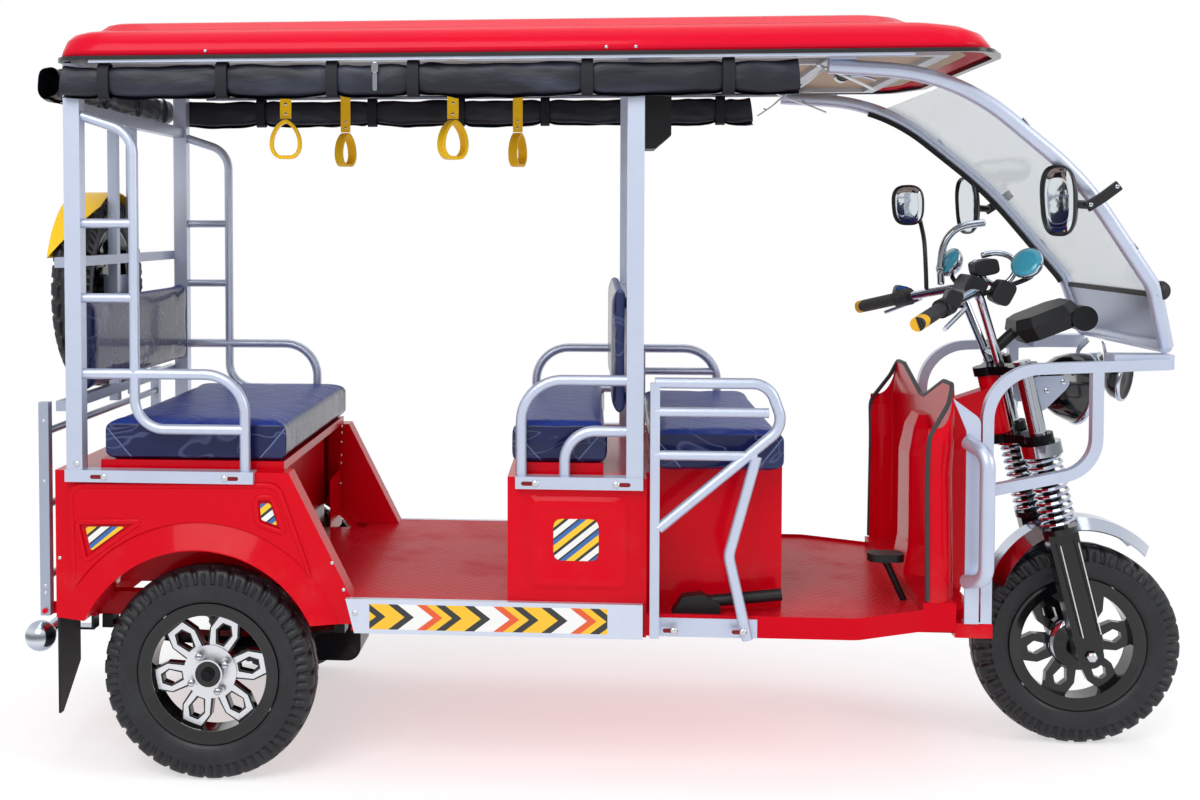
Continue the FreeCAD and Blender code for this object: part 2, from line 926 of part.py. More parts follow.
def front_fender():
    """A chrome fender: a curved strip over the tyre with a lip down each side."""
    rear = V(fender_rear_x, 0, fender_rear_z)
    top = V(fender_top_x, 0, fender_top_z)
    front = V(fender_front_x, 0, fender_front_z)
    arc = Part.Arc(rear, top, front).toShape().Curve
    centre = arc.Center
    radius = arc.Radius
    half = fender_half_width
    section = [
        V(radius, -half / 2, 0),
        V(radius, half / 2, 0),
        V(radius - fender_lip, half, 0),
        V(radius - fender_lip - fender_sheet, half - fender_sheet, 0),
        V(radius - fender_sheet, half / 2 - fender_sheet, 0),
        V(radius - fender_sheet, -half / 2 + fender_sheet, 0),
        V(radius - fender_lip - fender_sheet, -half + fender_sheet, 0),
        V(radius - fender_lip, -half, 0),
    ]
    face = Part.Face(Part.makePolygon(section + section[:1]))
    first = math.degrees(math.atan2(front.z - centre.z, front.x - centre.x))
    last = math.degrees(math.atan2(rear.z - centre.z, rear.x - centre.x))
    face.rotate(V(0, 0, 0), V(0, 1, 0), -first)
    strip = face.revolve(V(0, 0, 0), V(0, 1, 0), -((last - first) % 360))
    strip.translate(centre)
    stays = []
    for side in (-1, 1):
        y0 = side * (half - fender_sheet)
        y1 = side * (fork_half_track - fork_leg_thickness / 2)
        z0 = fender_top_z - fender_lip - stay_height
        x0 = on_leg(fender_stay_along, 0).x - stay_width / 2
        stays.append(block(x0, x0 + stay_width, min(y0, y1), max(y0, y1), z0, z0 + stay_height))
    return join([strip] + stays)


def bar_ends(side):
    """The knee, root and end of the grip on one side of the handlebar."""
    return (
        V(bar_knee_x, side * bar_knee_y, bar_knee_z),
        V(grip_root_x, side * grip_root_y, grip_root_z),
        V(grip_end_x, side * grip_end_y, grip_end_z),
    )


# Handlebar group

def handlebar():
    pieces = []
    for side in (-1, 1):
        foot = on_leg(head_tube_high + head_gap + yoke_thickness, side * bar_foot_y) + back_fork * bar_foot_back
        knee, root, end = bar_ends(side)
        pieces.append(tube([foot, knee, root, end], [bar_bend, bar_bend], bar_radius))
        pivot = root + (knee - root) * lever_from_share
        elbow = pivot + V(lever_ahead, 0, 0)
        tip = elbow + (end - root).normalize() * lever_reach - V(0, 0, lever_drop)
        pieces.append(tube([pivot, elbow, tip], [bar_lever_bend], bar_lever_radius))
    low = on_leg(head_tube_high + head_gap + yoke_thickness + bar_tie_up, 0) + back_fork * bar_foot_back
    pieces.append(rod(low - V(0, bar_foot_y, 0), low + V(0, bar_foot_y, 0), bar_radius * bar_tie_share))
    return join(pieces).cut(fork_yokes())


def grips():
    """Rubber sleeves, each with a switch block at its inner end."""
    bar = handlebar()
    pieces = []
    for side in (-1, 1):
        knee, root, end = bar_ends(side)
        along = (end - root).normalize()
        inward = (knee - root).normalize()
        sleeve = rod(root, end + along * grip_cap, grip_radius)
        switch = rod(root, root + inward * switch_length, switch_radius)
        pieces.append(join([sleeve, switch]).cut(bar))
    return Part.makeCompound(pieces)


def meter_ring(share, z):
    """The meter's outline with its corners cut off, scaled by a share, at a height above its middle."""
    half = meter_length / 2 * share
    wide = meter_width / 2 * share
    cut = meter_cut * share
    right_side = [(half, -wide + cut), (half - cut, -wide), (-half + cut, -wide), (-half, -wide + cut)]
    points = right_side + [(x, -y) for x, y in reversed(right_side)]
    return Part.makePolygon([V(x, y, z) for x, y in points + points[:1]])


def meter_box():
    """The instrument box on its bracket ahead of the handlebar, with a round barrel at its front right."""
    half = meter_height / 2
    box = Part.makeLoft([meter_ring(meter_base_share, -half), meter_ring(1, meter_height * meter_waist_share),
                         meter_ring(meter_lid_share, half)], True, True)
    at = V(meter_barrel_ahead, -meter_barrel_y, -meter_barrel_drop)
    across = V(0, meter_barrel_length / 2, 0)
    box = join([box, rod(at - across, at + across, meter_barrel_radius)])
    box.rotate(V(0, 0, 0), V(0, 1, 0), -meter_tilt)
    box.translate(V(meter_x, 0, meter_z))
    foot = on_leg(head_tube_high + head_gap + yoke_thickness + bar_tie_up, 0) + back_fork * bar_foot_back
    stalk = rod(foot, V(meter_x - meter_length / 4, 0, meter_z), meter_stalk_radius)
    return join([box, stalk]).cut(handlebar())


def lamp_bowl():
    """The lamp's bowl: a lens that is part of a ball, a straight rim, a step at the neck and a rounded back."""
    ball = (headlamp_radius * headlamp_radius + headlamp_lens * headlamp_lens) / (2 * headlamp_lens)
    half_turn = math.asin(headlamp_radius / ball) / 2
    lens = V(headlamp_lens, 0, 0)
    lens_edge = V(0, headlamp_radius, 0)
    lens_middle = V(headlamp_lens - ball * (1 - math.cos(half_turn)), ball * math.sin(half_turn), 0)
    rim_back = V(-headlamp_rim, headlamp_radius, 0)
    neck = V(-headlamp_rim - headlamp_lens, headlamp_radius * headlamp_neck_share, 0)
    bulge = V(-headlamp_depth * headlamp_bulge_at_share, headlamp_radius * headlamp_bulge_share, 0)
    back_edge = V(-headlamp_depth, headlamp_radius * headlamp_back_share, 0)
    back = V(-headlamp_depth, 0, 0)
    outline = Part.Wire([
        Part.Arc(lens, lens_middle, lens_edge).toShape(),
        Part.LineSegment(lens_edge, rim_back).toShape(),
        Part.LineSegment(rim_back, neck).toShape(),
        Part.Arc(neck, bulge, back_edge).toShape(),
        Part.LineSegment(back_edge, back).toShape(),
        Part.LineSegment(back, lens).toShape(),
    ])
    bowl = Part.Face(outline).revolve(V(0, 0, 0), V(1, 0, 0), full_turn)
    bowl.translate(V(headlamp_x, 0, headlamp_z))
    return bowl


def headlamp():
    """The round lamp on two drilled bracket plates that start at the fork tubes."""
    pieces = [lamp_bowl()]
    reach = fork_half_track - fork_tube_radius
    start = on_leg(arm_along, 0)
    end = V(headlamp_x - headlamp_depth / 2, 0, headlamp_z)
    up = V(0, 0, arm_height / 2)
    tip = up * arm_end_share
    for side in (-1, 1):
        base = V(0, side * reach - arm_sheet / 2, 0)
        thick = V(0, arm_sheet, 0)
        corners = [start + up + base, start - up + base, end - tip + base, end + tip + base]
        arm = Part.Face(Part.makePolygon(corners + corners[:1])).extrude(thick)
        arm = join([arm, rod(end + base, end + base + thick, tip.z)])
        for share in arm_hole_shares:
            at = start + (end - start) * share + base
            arm = arm.cut(rod(at, at + thick, arm_hole_radius))
        pieces.append(arm)
        pieces.append(rod(end, end + V(0, side * reach, 0), arm_bolt_radius))
    lamp = join(pieces)
    for y in (-fork_half_track, fork_half_track):
        lamp = lamp.cut(rod(on_leg(spring_low, y), on_leg(fork_tube_top, y), fork_tube_radius))
    return lamp


def mirror_outline(share, x):
    """A mirror's rounded outline, scaled by a share, at a value of x."""
    half_w = mirror_width / 2 * share
    half_h = mirror_height / 2 * share
    corners = [V(x, -half_w, -half_h), V(x, half_w, -half_h), V(x, half_w, half_h), V(x, -half_w, half_h)]
    return closed(corners, [half_w * mirror_corner_share] * 4)


def mirror_head(centre, turn):
    """A mirror head that faces back: a flat rim and a back that draws in."""
    front = mirror_depth - mirror_back_depth
    flat = Part.Face(mirror_outline(1, 0)).extrude(V(front, 0, 0))
    back = Part.makeLoft([mirror_outline(1, front), mirror_outline(mirror_back_share, mirror_depth)], True, True)
    head = join([flat, back])
    head.rotate(V(0, 0, 0), V(0, 0, 1), turn)
    head.translate(centre)
    return head


def bar_mirror():
    """The mirror on the left of the handlebar, on a bent stem."""
    centre = V(bar_mirror_x, bar_mirror_y, bar_mirror_z)
    head = mirror_head(centre, bar_mirror_turn)
    back = centre + V(mirror_depth * mirror_socket_share, 0, -mirror_height / 4)
    bend = V(bar_mirror_x + stem_knee_ahead, bar_mirror_y + stem_knee_out, bar_mirror_z - stem_knee_drop)
    knee, root, end = bar_ends(1)
    foot = root + (knee - root) * stem_foot_share
    stem = tube([back, bend, foot], [bar_bend], mirror_stem_radius)
    return join([head, stem]).cut(handlebar())


# Body panels

def chassis_frame():
    """Rails, cross members, side sills, the neck and the steering head's tube."""
    z1 = driver_floor_z - body_sheet
    z0 = z1 - rail_height
    under = floor_z - body_sheet
    pieces = []
    for side in (-1, 1):
        y = side * rail_half_width
        pieces.append(block(rear_panel_x + rear_panel_thickness, cowl_front_x + neck_base, y - rail_width / 2,
                            y + rail_width / 2, z0, z1))
        out = side * (body_half_width - body_sheet)
        inner = out - side * sill_width
        pieces.append(block(rear_panel_front_bottom, middle_box_front, min(out, inner), max(out, inner),
                            under_floor_z, under))
    rear_cross_x = rear_panel_x + rear_panel_thickness
    pieces.append(block(rear_cross_x, rear_cross_x + rail_width, -tub_half_width, tub_half_width, z0, under))
    reach = body_half_width - body_sheet - sill_width
    for x in (rear_panel_front_bottom, middle_box_back, middle_box_front - rail_width):
        pieces.append(block(x, x + rail_width, -reach, reach, z1 - bearer_sink, under))
    pieces.append(block(cowl_edge_x - rail_width, cowl_edge_x, -rail_half_width, rail_half_width, z0, z1))
    pieces.append(block(cowl_front_x, cowl_front_x + neck_base, -front_guard_y - guard_tube / 2,
                        front_guard_y + guard_tube / 2, z0, front_guard_low))
    outer, bore = head_tube()
    boss = back_fork * (head_tube_radius + yoke_margin / 2 + moving_gap * 2)
    profile = [
        V(cowl_front_x + neck_base, 0, z0),
        on_head(head_tube_low - neck_clear, 0) + boss,
        on_head(head_tube_low + neck_drop / 2, 0) + boss,
        on_head(head_tube_low + neck_drop / 2, 0),
        on_head(head_tube_high - neck_drop, 0),
        V(cowl_front_x + neck_gap, 0, cowl_valley_z - neck_drop),
        V(cowl_front_x + neck_gap, 0, z0),
    ]
    web = Part.Face(Part.makePolygon(profile + profile[:1]))
    web.translate(V(0, -neck_width / 2, 0))
    pieces.append(web.extrude(V(0, neck_width, 0)))
    pieces.append(outer)
    return join(pieces).cut(bore)


def passenger_floor():
    """The flat floor: narrow between the wheels, wider in front of them and full width past the panels."""
    z0 = floor_z - body_sheet
    y = body_half_width - rear_panel_thickness
    narrow = block(rear_panel_x + rear_panel_thickness, floor_wide_x, -tub_half_width, tub_half_width, z0, floor_z)
    wider = block(floor_wide_x, rear_panel_front_bottom, -y, y, z0, floor_z)
    wide = block(rear_panel_front_bottom, middle_box_front, -body_half_width, body_half_width, z0, floor_z)
    return join([narrow, wider, wide])


def pan_outline(inset):
    """The driver's floor in plan, its long sides drawn in by an inset; they taper to the leg shield."""
    y = body_half_width - inset
    y_front = cowl_half_width - inset
    x0 = middle_box_front
    x1 = cowl_front_x
    corners = [
        V(x0, -y, 0),
        V(driver_floor_bend_x, -y, 0),
        V(cowl_edge_x, -y_front, 0),
        V(x1, -y_front, 0),
        V(x1, y_front, 0),
        V(cowl_edge_x, y_front, 0),
        V(driver_floor_bend_x, y, 0),
        V(x0, y, 0),
    ]
    bend = driver_floor_bend
    return closed(corners, [0, bend, bend, 0, 0, bend, bend, 0])


def driver_floor():
    """A pressed pan: a floor sheet with a skirt below, a low rim above and a step under the leg shield."""
    outer = Part.Face(pan_outline(0))
    inner = Part.Face(pan_outline(body_sheet))
    rim_top = driver_floor_z + driver_rim
    pan = outer.extrude(V(0, 0, rim_top - driver_floor_low))
    below = inner.extrude(V(0, 0, driver_floor_z - body_sheet - driver_floor_low))
    above = inner.extrude(V(0, 0, driver_rim))
    above.translate(V(0, 0, driver_floor_z - driver_floor_low))
    step = outer.extrude(V(0, 0, cowl_low - driver_floor_z))
    step.translate(V(0, 0, driver_floor_z - driver_floor_low))
    step = step.common(block(cowl_edge_x - step_ahead, cowl_front_x, -body_half_width, body_half_width, 0, cowl_low))
    pan = join([pan.cut(below).cut(above), step])
    pan.translate(V(0, 0, driver_floor_low))
    return pan


def panel_pressing():
    """The raised field on a rear side panel: a thin plate with two triangular pockets, clear of the flare."""
    y0 = -body_half_width
    field = plate(panel_field, [panel_field_bend] * len(panel_field), y0 - panel_press, y0)
    axis = V(arch_x, y0 - panel_press, tyre_radius)
    field = field.cut(Part.makeCylinder(flare_radius, panel_press, axis, V(0, 1, 0)))
    for pocket in panel_pockets:
        field = field.cut(plate(pocket, [panel_pocket_bend] * len(pocket), y0 - panel_press, y0))
    return field


def rear_side_panel():
    """The right rear panel: arch opening, flare, wheel tub, the slanted front box and the raised field."""
    y0 = -body_half_width
    y1 = y0 + rear_panel_thickness
    outline = [
        (rear_panel_x, rear_panel_bottom),
        (rear_panel_front_bottom, rear_panel_bottom),
        (rear_panel_front_bottom, floor_z),
        (rear_panel_front_top, rear_panel_top),
        (rear_panel_x, rear_panel_top),
    ]
    sheet = plate(outline, [0] * len(outline), y0, y1)
    axis = V(arch_x, 0, tyre_radius)
    hole = Part.makeCylinder(arch_radius, 2 * body_half_width, axis + V(0, y0 * 2, 0), V(0, 1, 0))
    gusset = plate([
        (rear_panel_front_top - gusset_depth, floor_z),
        (rear_panel_front_bottom, floor_z),
        (rear_panel_front_top, rear_panel_top),
        (rear_panel_front_top - gusset_depth, rear_panel_top),
    ], [0] * 4, y0, y0 + gusset_depth)
    flare = spun([
        (arch_radius, -flare_out),
        (arch_radius + body_sheet, -flare_out),
        (flare_radius, 0),
        (arch_radius, 0),
    ], axis + V(0, y0, 0))
    tub = spun([
        (arch_radius, 0),
        (arch_radius + body_sheet, 0),
        (arch_radius + body_sheet, -y0 - tub_half_width),
        (arch_radius, -y0 - tub_half_width),
    ], axis + V(0, y0, 0))
    keep = block(rear_panel_x, rear_panel_front_bottom, y0 - flare_out, -tub_half_width,
                 rear_panel_bottom, rear_panel_top)
    return join([join([sheet, gusset]).cut(hole), flare.common(keep), tub.common(keep), panel_pressing()])


def rear_seat_box():
    """The hollow box under the rear seat: back, front, inner sides and lid."""
    x0 = rear_panel_x + rear_panel_thickness
    x1 = rear_panel_front_top - gusset_depth
    low = floor_z
    outer = block(x0, x1, -tub_half_width, tub_half_width, low, rear_panel_top)
    inner = block(x0 + body_sheet, x1 - body_sheet, -tub_half_width + body_sheet, tub_half_width - body_sheet,
                  low, rear_panel_top - body_sheet)
    lid = block(x0, x1, -body_half_width + rear_panel_thickness, body_half_width - rear_panel_thickness,
                rear_panel_top - body_sheet, rear_panel_top)
    board = block(rear_cushion_back, rear_cushion_front - board_set_back, -cushion_half_width + board_set_back,
                  cushion_half_width - board_set_back, rear_panel_top, rear_cushion_low)
    tail = block(rear_panel_x, x0, -body_half_width + rear_panel_thickness, body_half_width - rear_panel_thickness,
                 rear_panel_bottom, rear_panel_top)
    return join([outer.cut(inner), lid, board, tail] + carrier_lugs())


def box_ring(inset, y):
    """The outline of the pressing on the middle seat box, drawn in by an inset, at a value of y."""
    x0 = middle_box_back + box_press_back + inset
    x1 = middle_box_front - box_press_front - inset
    z0 = box_press_low + inset
    z1 = box_press_high - inset
    return closed([V(x0, y, z0), V(x1, y, z0), V(x1, y, z1), V(x0, y, z1)], [box_press_bend] * 4)


def box_pressing():
    """The raised frame on the middle seat box, whose inside slopes back down to a small flat window."""
    face = -body_half_width
    top = face - box_press
    ridge = Part.makeLoft([box_ring(0, face), box_ring(box_press_edge, top)], True, True)
    well = Part.makeLoft([box_ring(box_well_inset, top), box_ring(box_well_inset + box_well_wall, face)], True, True)
    return ridge.cut(well)


def seat_box():
    """The middle and driver's seat boxes, hollow and open below, with their boards and side pressings."""
    y = body_half_width
    middle = block(middle_box_back, middle_box_front, -y, y, floor_z, middle_box_top)
    middle_in = block(middle_box_back + body_sheet, middle_box_front - body_sheet, -y + body_sheet, y - body_sheet,
                      floor_z, middle_box_top - body_sheet)
    yd = driver_box_half_width
    driver = block(middle_box_front, driver_box_front, -yd, yd, driver_floor_z, driver_box_top)
    driver_in = block(middle_box_front, driver_box_front - body_sheet, -yd + body_sheet, yd - body_sheet,
                      driver_floor_z, driver_box_top - body_sheet)
    board = block(middle_box_back + board_set_back, middle_cushion_front - board_set_back, -board_half,
                  board_half, middle_box_top, middle_cushion_low)
    driver_board = block(driver_cushion_back + board_set_back, driver_box_front, -yd, yd, driver_box_top,
                         driver_cushion_low)
    pressing = box_pressing()
    return join([middle.cut(middle_in), driver.cut(driver_in), board, driver_board, pressing, mirrored(pressing)])


# Side frames

def post(x, z0):
    """One upright square post on the right-hand side."""
    return block(x - post_size / 2, x + post_size / 2, -post_outer, -post_outer + post_size, z0, post_top)


def bracket(x0, x1, z1):
    """The angle that carries a side frame on the body's edge: a strip outside and a shelf on top."""
    side = block(x0, x1, -post_outer - bracket_sheet, -body_half_width, z1 - bracket_height, z1 + bracket_sheet)
    shelf = block(x0, x1, -post_outer, -post_outer + post_size, z1, z1 + bracket_sheet)
    return join([side, shelf])


def at(x, z):
    """A point in the plane of the right-hand side frames."""
    return V(x, -post_centre, z)


def rear_side_frame():
    face = rear_post_x + post_size / 2
    top = rear_panel_top
    pieces = [
        post(rear_post_x, top),
        tube([at(face, ladder_high), at(ladder_x, ladder_bend_z), at(ladder_x, rear_loop_z),
              at(rear_arm_x, rear_loop_z)], [loop_bend, loop_bend], loop_radius),
        tube([at(face, rear_arm_z), at(rear_arm_x, rear_arm_z), at(rear_arm_x, top)], [arm_bend], tube_radius),
    ]
    for z in ladder_rungs:
        pieces.append(rod(at(face, z), at(ladder_x, z), rung_radius))
    pieces.append(bracket(rear_bracket_back, rear_bracket_front, top))
    return join(pieces)


def middle_side_frame():
    face = middle_post_x - post_size / 2
    top = middle_box_top
    pieces = [
        post(middle_post_x, top),
        tube([at(face, middle_arm_z), at(middle_arm_x, middle_arm_z), at(middle_arm_x, top)], [arm_bend], tube_radius),
        tube([at(face, middle_loop_z), at(middle_loop_x, middle_loop_z), at(middle_loop_x, top)],
             [loop_bend], tube_radius),
    ]
    x0 = middle_arm_x - tube_radius
    x1 = middle_post_x + post_size / 2
    pieces.append(bracket(x0, x1, top))
    return join(pieces)


def middle_side_frames():
    """Both middle frames with the two cross bars that carry the backrest."""
    right = middle_side_frame()
    x0 = middle_back_x + middle_back_thickness
    y = post_outer - post_size
    pieces = [right, mirrored(right)]
    for z in (middle_back_low + back_bar_in, middle_back_high - back_bar_in):
        pieces.append(block(x0, x0 + back_bar, -y, y, z - back_bar / 2, z + back_bar / 2))
    return join(pieces)


def beside(x, z):
    """A point in the plane of the right-hand driver's guard."""
    return V(x, -guard_y, z)


def guard_base():
    """The foot strip and the square upright that both driver's guards start from."""
    half = guard_size / 2
    outer = -body_half_width - bracket_sheet
    strip = block(guard_x - half, guard_plate_front, outer, -body_half_width, driver_floor_low,
                  driver_floor_low + foot_plate_height)
    upright = block(guard_x - half, guard_x + half, outer - guard_size, outer, driver_floor_low, guard_top)
    return [strip, upright]


def driver_guard():
    """The right-hand guard beside the driver, shaped like a flag, with its brace."""
    rung_high, rung_low = guard_rungs
    pieces = guard_base() + [
        tube([beside(guard_x, guard_top), beside(guard_shoulder_x, guard_top), beside(guard_nose_x, guard_nose_z),
              beside(guard_low_x, guard_low_z)], [guard_bend, guard_bend], tube_radius),
        tube([beside(guard_rung_x, rung_low), beside(guard_brace_x, guard_brace_z),
              beside(guard_foot_x, driver_floor_low)], [guard_bend], tube_radius),
        rod(beside(guard_x, rung_high), beside(guard_shoulder_x, rung_high), rung_radius),
        rod(beside(guard_x, rung_low), beside(guard_rung_x, rung_low), rung_radius),
    ]
    return join(pieces)


def driver_armrest():
    """The left-hand arm rest beside the driver: a hoop with one rung."""
    rung_high = guard_rungs[0]
    pieces = guard_base() + [
        tube([beside(guard_x, guard_top), beside(left_arm_front, guard_top), beside(left_arm_front, driver_floor_low)],
             [arm_bend], tube_radius),
        rod(beside(guard_x, rung_high), beside(left_arm_front, rung_high), rung_radius),
    ]
    return mirrored(join(pieces))


def sill_strip():
    z1 = floor_z
    outline = [
        (rear_panel_front_bottom + sill_run, under_floor_z),
        (sill_front, under_floor_z),
        (sill_front, z1),
        (rear_panel_front_bottom - sill_run, z1),
    ]
    return plate(outline, [0] * 4, -post_outer - bracket_sheet, -body_half_width)


# Roof

def roof_outline(inset, z):
    """The roof's plan outline, drawn in by an inset, at a height."""
    x0 = roof_rear + inset
    x1 = roof_front - inset * roof_front_share
    y = roof_half_width - inset
    corners = [V(x0, -y, z), V(x1 - roof_bow, -y, z), V(x1, -y * roof_bow_share, z), V(x1, y * roof_bow_share, z),
               V(x1 - roof_bow, y, z), V(x0, y, z)]
    corner = max(roof_corner - inset * roof_corner_share, roof_sheet)
    return closed(corners, [corner] * 6)


def roof_shell():
    skin = Part.makeLoft([roof_outline(0, roof_edge_z), roof_outline(roof_shoulder_in, roof_shoulder_z)], True, True)
    hollow = Part.makeLoft([
        roof_outline(roof_sheet, roof_edge_z),
        roof_outline(roof_shoulder_in + roof_sheet, roof_shoulder_z - roof_sheet),
    ], True, True)
    crown = Part.makeLoft([
        roof_outline(roof_shoulder_in + roof_crown_step, roof_shoulder_z - roof_sheet),
        roof_outline(roof_top_in, roof_top_z),
    ], True, True)
    return join([skin.cut(hollow), crown])


def roof_trim():
    outer = Part.Face(roof_outline(-roof_trim_out, roof_edge_z - roof_trim_height))
    inner = Part.Face(roof_outline(roof_sheet, roof_edge_z - roof_trim_height))
    return outer.cut(inner).extrude(V(0, 0, roof_trim_height))


def roof_frame():
    """Side rails, cross bars and the ceiling sheet that the posts carry."""
    z0 = post_top
    pieces = []
    y = post_centre
    x0 = rear_post_x
    x1 = roof_front - roof_bow * 2
    half = roof_rail_width / 2
    for side in (-1, 1):
        pieces.append(block(x0, x1, side * y - half, side * y + half, z0, z0 + roof_rail_height))
        pieces.append(block(x0, screen_top_x, side * loop_y - half, side * loop_y + half, z0, z0 + roof_rail_height))
    for x in (x0, middle_post_x - half, screen_top_x, x1 - roof_rail_width):
        pieces.append(block(x, x + roof_rail_width, -y, y, z0, z0 + roof_rail_height))
    liner = z0 + roof_rail_height + liner_sheet
    pieces.append(block(x0, x1, -y, y, z0 + roof_rail_height, liner))
    crown_y = roof_half_width - roof_top_in
    for x in (rear_post_x + roof_bow * 2, middle_post_x - half, screen_top_x):
        pieces.append(block(x, x + roof_rail_width, -crown_y, crown_y, liner, roof_shoulder_z - roof_sheet))
    return join(pieces)


def rear_cross_beam():
    half = roof_rail_width / 2
    x = rear_post_x - post_size / 2
    return block(x, x + roof_rail_width, -post_outer + post_size, post_outer - post_size,
                 cross_beam_z - half, cross_beam_z + half)


def curtain_rolls():
    """Rolled curtains tied along both sides and across the back, under the roof's edge."""
    z1 = post_top
    z0 = z1 - roll_height
    inner = post_outer + roll_clearance
    bend = roll_thickness * roll_bend_share
    corners = [V(roll_rear, -inner, z0), V(roll_rear, -inner, z1), V(roll_rear, -inner - roll_thickness, z1),
               V(roll_rear, -inner - roll_thickness, z0)]
    side = Part.Face(closed(corners, [bend] * 4)).extrude(V(roll_front - roll_rear, 0, 0))
    back = rear_post_x - post_size / 2 - roll_clearance
    half = post_outer
    bend = rear_roll_thickness * roll_bend_share
    corners = [V(back, -half, z0), V(back, -half, z1), V(back - rear_roll_thickness, -half, z1),
               V(back - rear_roll_thickness, -half, z0)]
    rear = Part.Face(closed(corners, [bend] * 4)).extrude(V(0, 2 * half, 0))
    return Part.makeCompound([side, mirrored(side), rear])


def ceiling_box():
    """The small box under the ceiling behind the driver's head, with a slanted foot."""
    x0 = ceiling_box_x
    x1 = x0 + ceiling_box_length
    foot_x = x0 + ceiling_box_length * ceiling_box_foot_share
    low = ceiling_box_low
    top = post_top + roof_rail_height
    outline = [(x0, low - ceiling_box_foot), (foot_x, low - ceiling_box_foot), (x1, low), (x1, top), (x0, top)]
    half = ceiling_box_width / 2
    return plate(outline, [0] * len(outline), -ceiling_box_y - half, -ceiling_box_y + half)


def hand_loops():
    """Yellow hand loops that hang from the ceiling."""
    pieces = []
    length = wheelbase
    for share, side in loop_places_share:
        x = rear_post_x + (length - rear_post_x) * share
        y = side * loop_y
        half = loop_strap_width / 2
        thin = loop_strap_thickness / 2
        ring_z = loop_low + loop_ring
        strap = block(x - half / 2, x + half / 2, y - thin, y + thin, ring_z, post_top)
        outer = Part.makeCylinder(loop_ring, loop_strap_width, V(x, y - half, ring_z), V(0, 1, 0))
        inner = Part.makeCylinder(loop_ring - 2 * loop_strap_thickness, loop_strap_width,
                                  V(x, y - half, ring_z), V(0, 1, 0))
        pieces.append(join([strap, outer]).cut(inner))
    return Part.makeCompound(pieces)


# Windshield

def screen_points(side):
    return [
        V(screen_top_x, side * screen_top_y, post_top - screen_tube_radius),
        V(screen_brow_x, side * screen_brow_y, screen_brow_z),
        V(screen_mid_x, side * screen_mid_y, screen_mid_z),
        V(screen_knee_x, side * screen_knee_y, screen_knee_z),
        V(screen_low_x, side * screen_low_y, screen_low_z),
    ]


def screen_sheet(thickness, z0, z1):
    """A curved sheet that fills the frame between two heights."""
    points = screen_points(0)
    step = V(thickness / 2, 0, thickness / 2 * screen_lean_share)
    front = [point + step for point in points]
    back = [point - step for point in points]
    bends = [screen_brow_bend, screen_mid_bend, screen_knee_bend]
    outer = route(front, bends)
    inner = route(back, bends)
    lid = Part.LineSegment(front[0], back[0]).toShape()
    foot = Part.LineSegment(front[-1], back[-1]).toShape()
    wire = Part.Wire(Part.__sortEdges__(outer.Edges + [foot] + inner.Edges + [lid]))
    slab = Part.Face(wire)
    slab.translate(V(0, -screen_top_y, 0))
    slab = slab.extrude(V(0, 2 * screen_top_y, 0))
    places = [(point.y, point.z) for point in screen_points(-1)]
    inset = screen_tube_radius / 2
    right = [V(0, y + inset, z) for y, z in places]
    left = [V(0, -y - inset, z) for y, z in reversed(places)]
    gate = Part.Face(Part.makePolygon(right + left + right[:1])).extrude(V(2 * wheelbase, 0, 0))
    band = block(0, 2 * wheelbase, -screen_top_y, screen_top_y, z0, z1)
    return slab.common(gate).common(band).cut(windshield_frame())


def windshield_frame():
    pieces = []
    bends = [screen_brow_bend, screen_mid_bend, screen_knee_bend]
    for side in (-1, 1):
        pieces.append(tube(screen_points(side), bends, screen_tube_radius))
        pieces.append(block(screen_top_x, screen_top_x + screen_flange_length,
                            side * screen_top_y - screen_tube_radius, side * screen_top_y + screen_tube_radius,
                            post_top - screen_flange_sheet, post_top))
    low = V(screen_low_x, -screen_low_y, screen_low_z)
    pieces.append(rod(low, V(screen_low_x, screen_low_y, screen_low_z), screen_tube_radius * screen_beam_share))
    return join(pieces)


def front_panel():
    return screen_sheet(body_sheet, panel_low, glass_low - panel_gap)


def windshield_glass():
    return screen_sheet(glass_sheet, glass_low, glass_high)


def frame_mirrors():
    """Mirrors on the windshield's tubes, one each side, on short clamp arms."""
    frame = windshield_frame()
    pieces = []
    for side in (-1, 1):
        centre = V(frame_mirror_x, side * frame_mirror_y, frame_mirror_z)
        head = mirror_head(centre, side * frame_mirror_turn)
        clamp = V(screen_mid_x + frame_clamp_ahead, side * (screen_mid_y - frame_clamp_in), frame_mirror_z)
        back = centre + V(mirror_depth * mirror_socket_share, 0, 0)
        arm = rod(back, clamp, mirror_arm_radius)
        pieces.append(join([head, arm]).cut(frame))
    return Part.makeCompound(pieces)


# Front end

def cowl_ring(draw_in, z):
    """The leg shield's section at a height: a sheet bent to a flat U that opens to the rear."""
    y = cowl_half_width - draw_in
    inner_y = y - cowl_sheet
    inner_x = cowl_front_x - cowl_sheet
    corners = [
        V(cowl_edge_x, -y, z), V(cowl_front_x, -y, z), V(cowl_front_x, y, z), V(cowl_edge_x, y, z),
        V(cowl_edge_x, inner_y, z), V(inner_x, inner_y, z), V(inner_x, -inner_y, z), V(cowl_edge_x, -inner_y, z),
    ]
    inner_bend = cowl_corner - cowl_sheet
    return closed(corners, [0, cowl_corner, cowl_corner, 0, 0, inner_bend, inner_bend, 0])


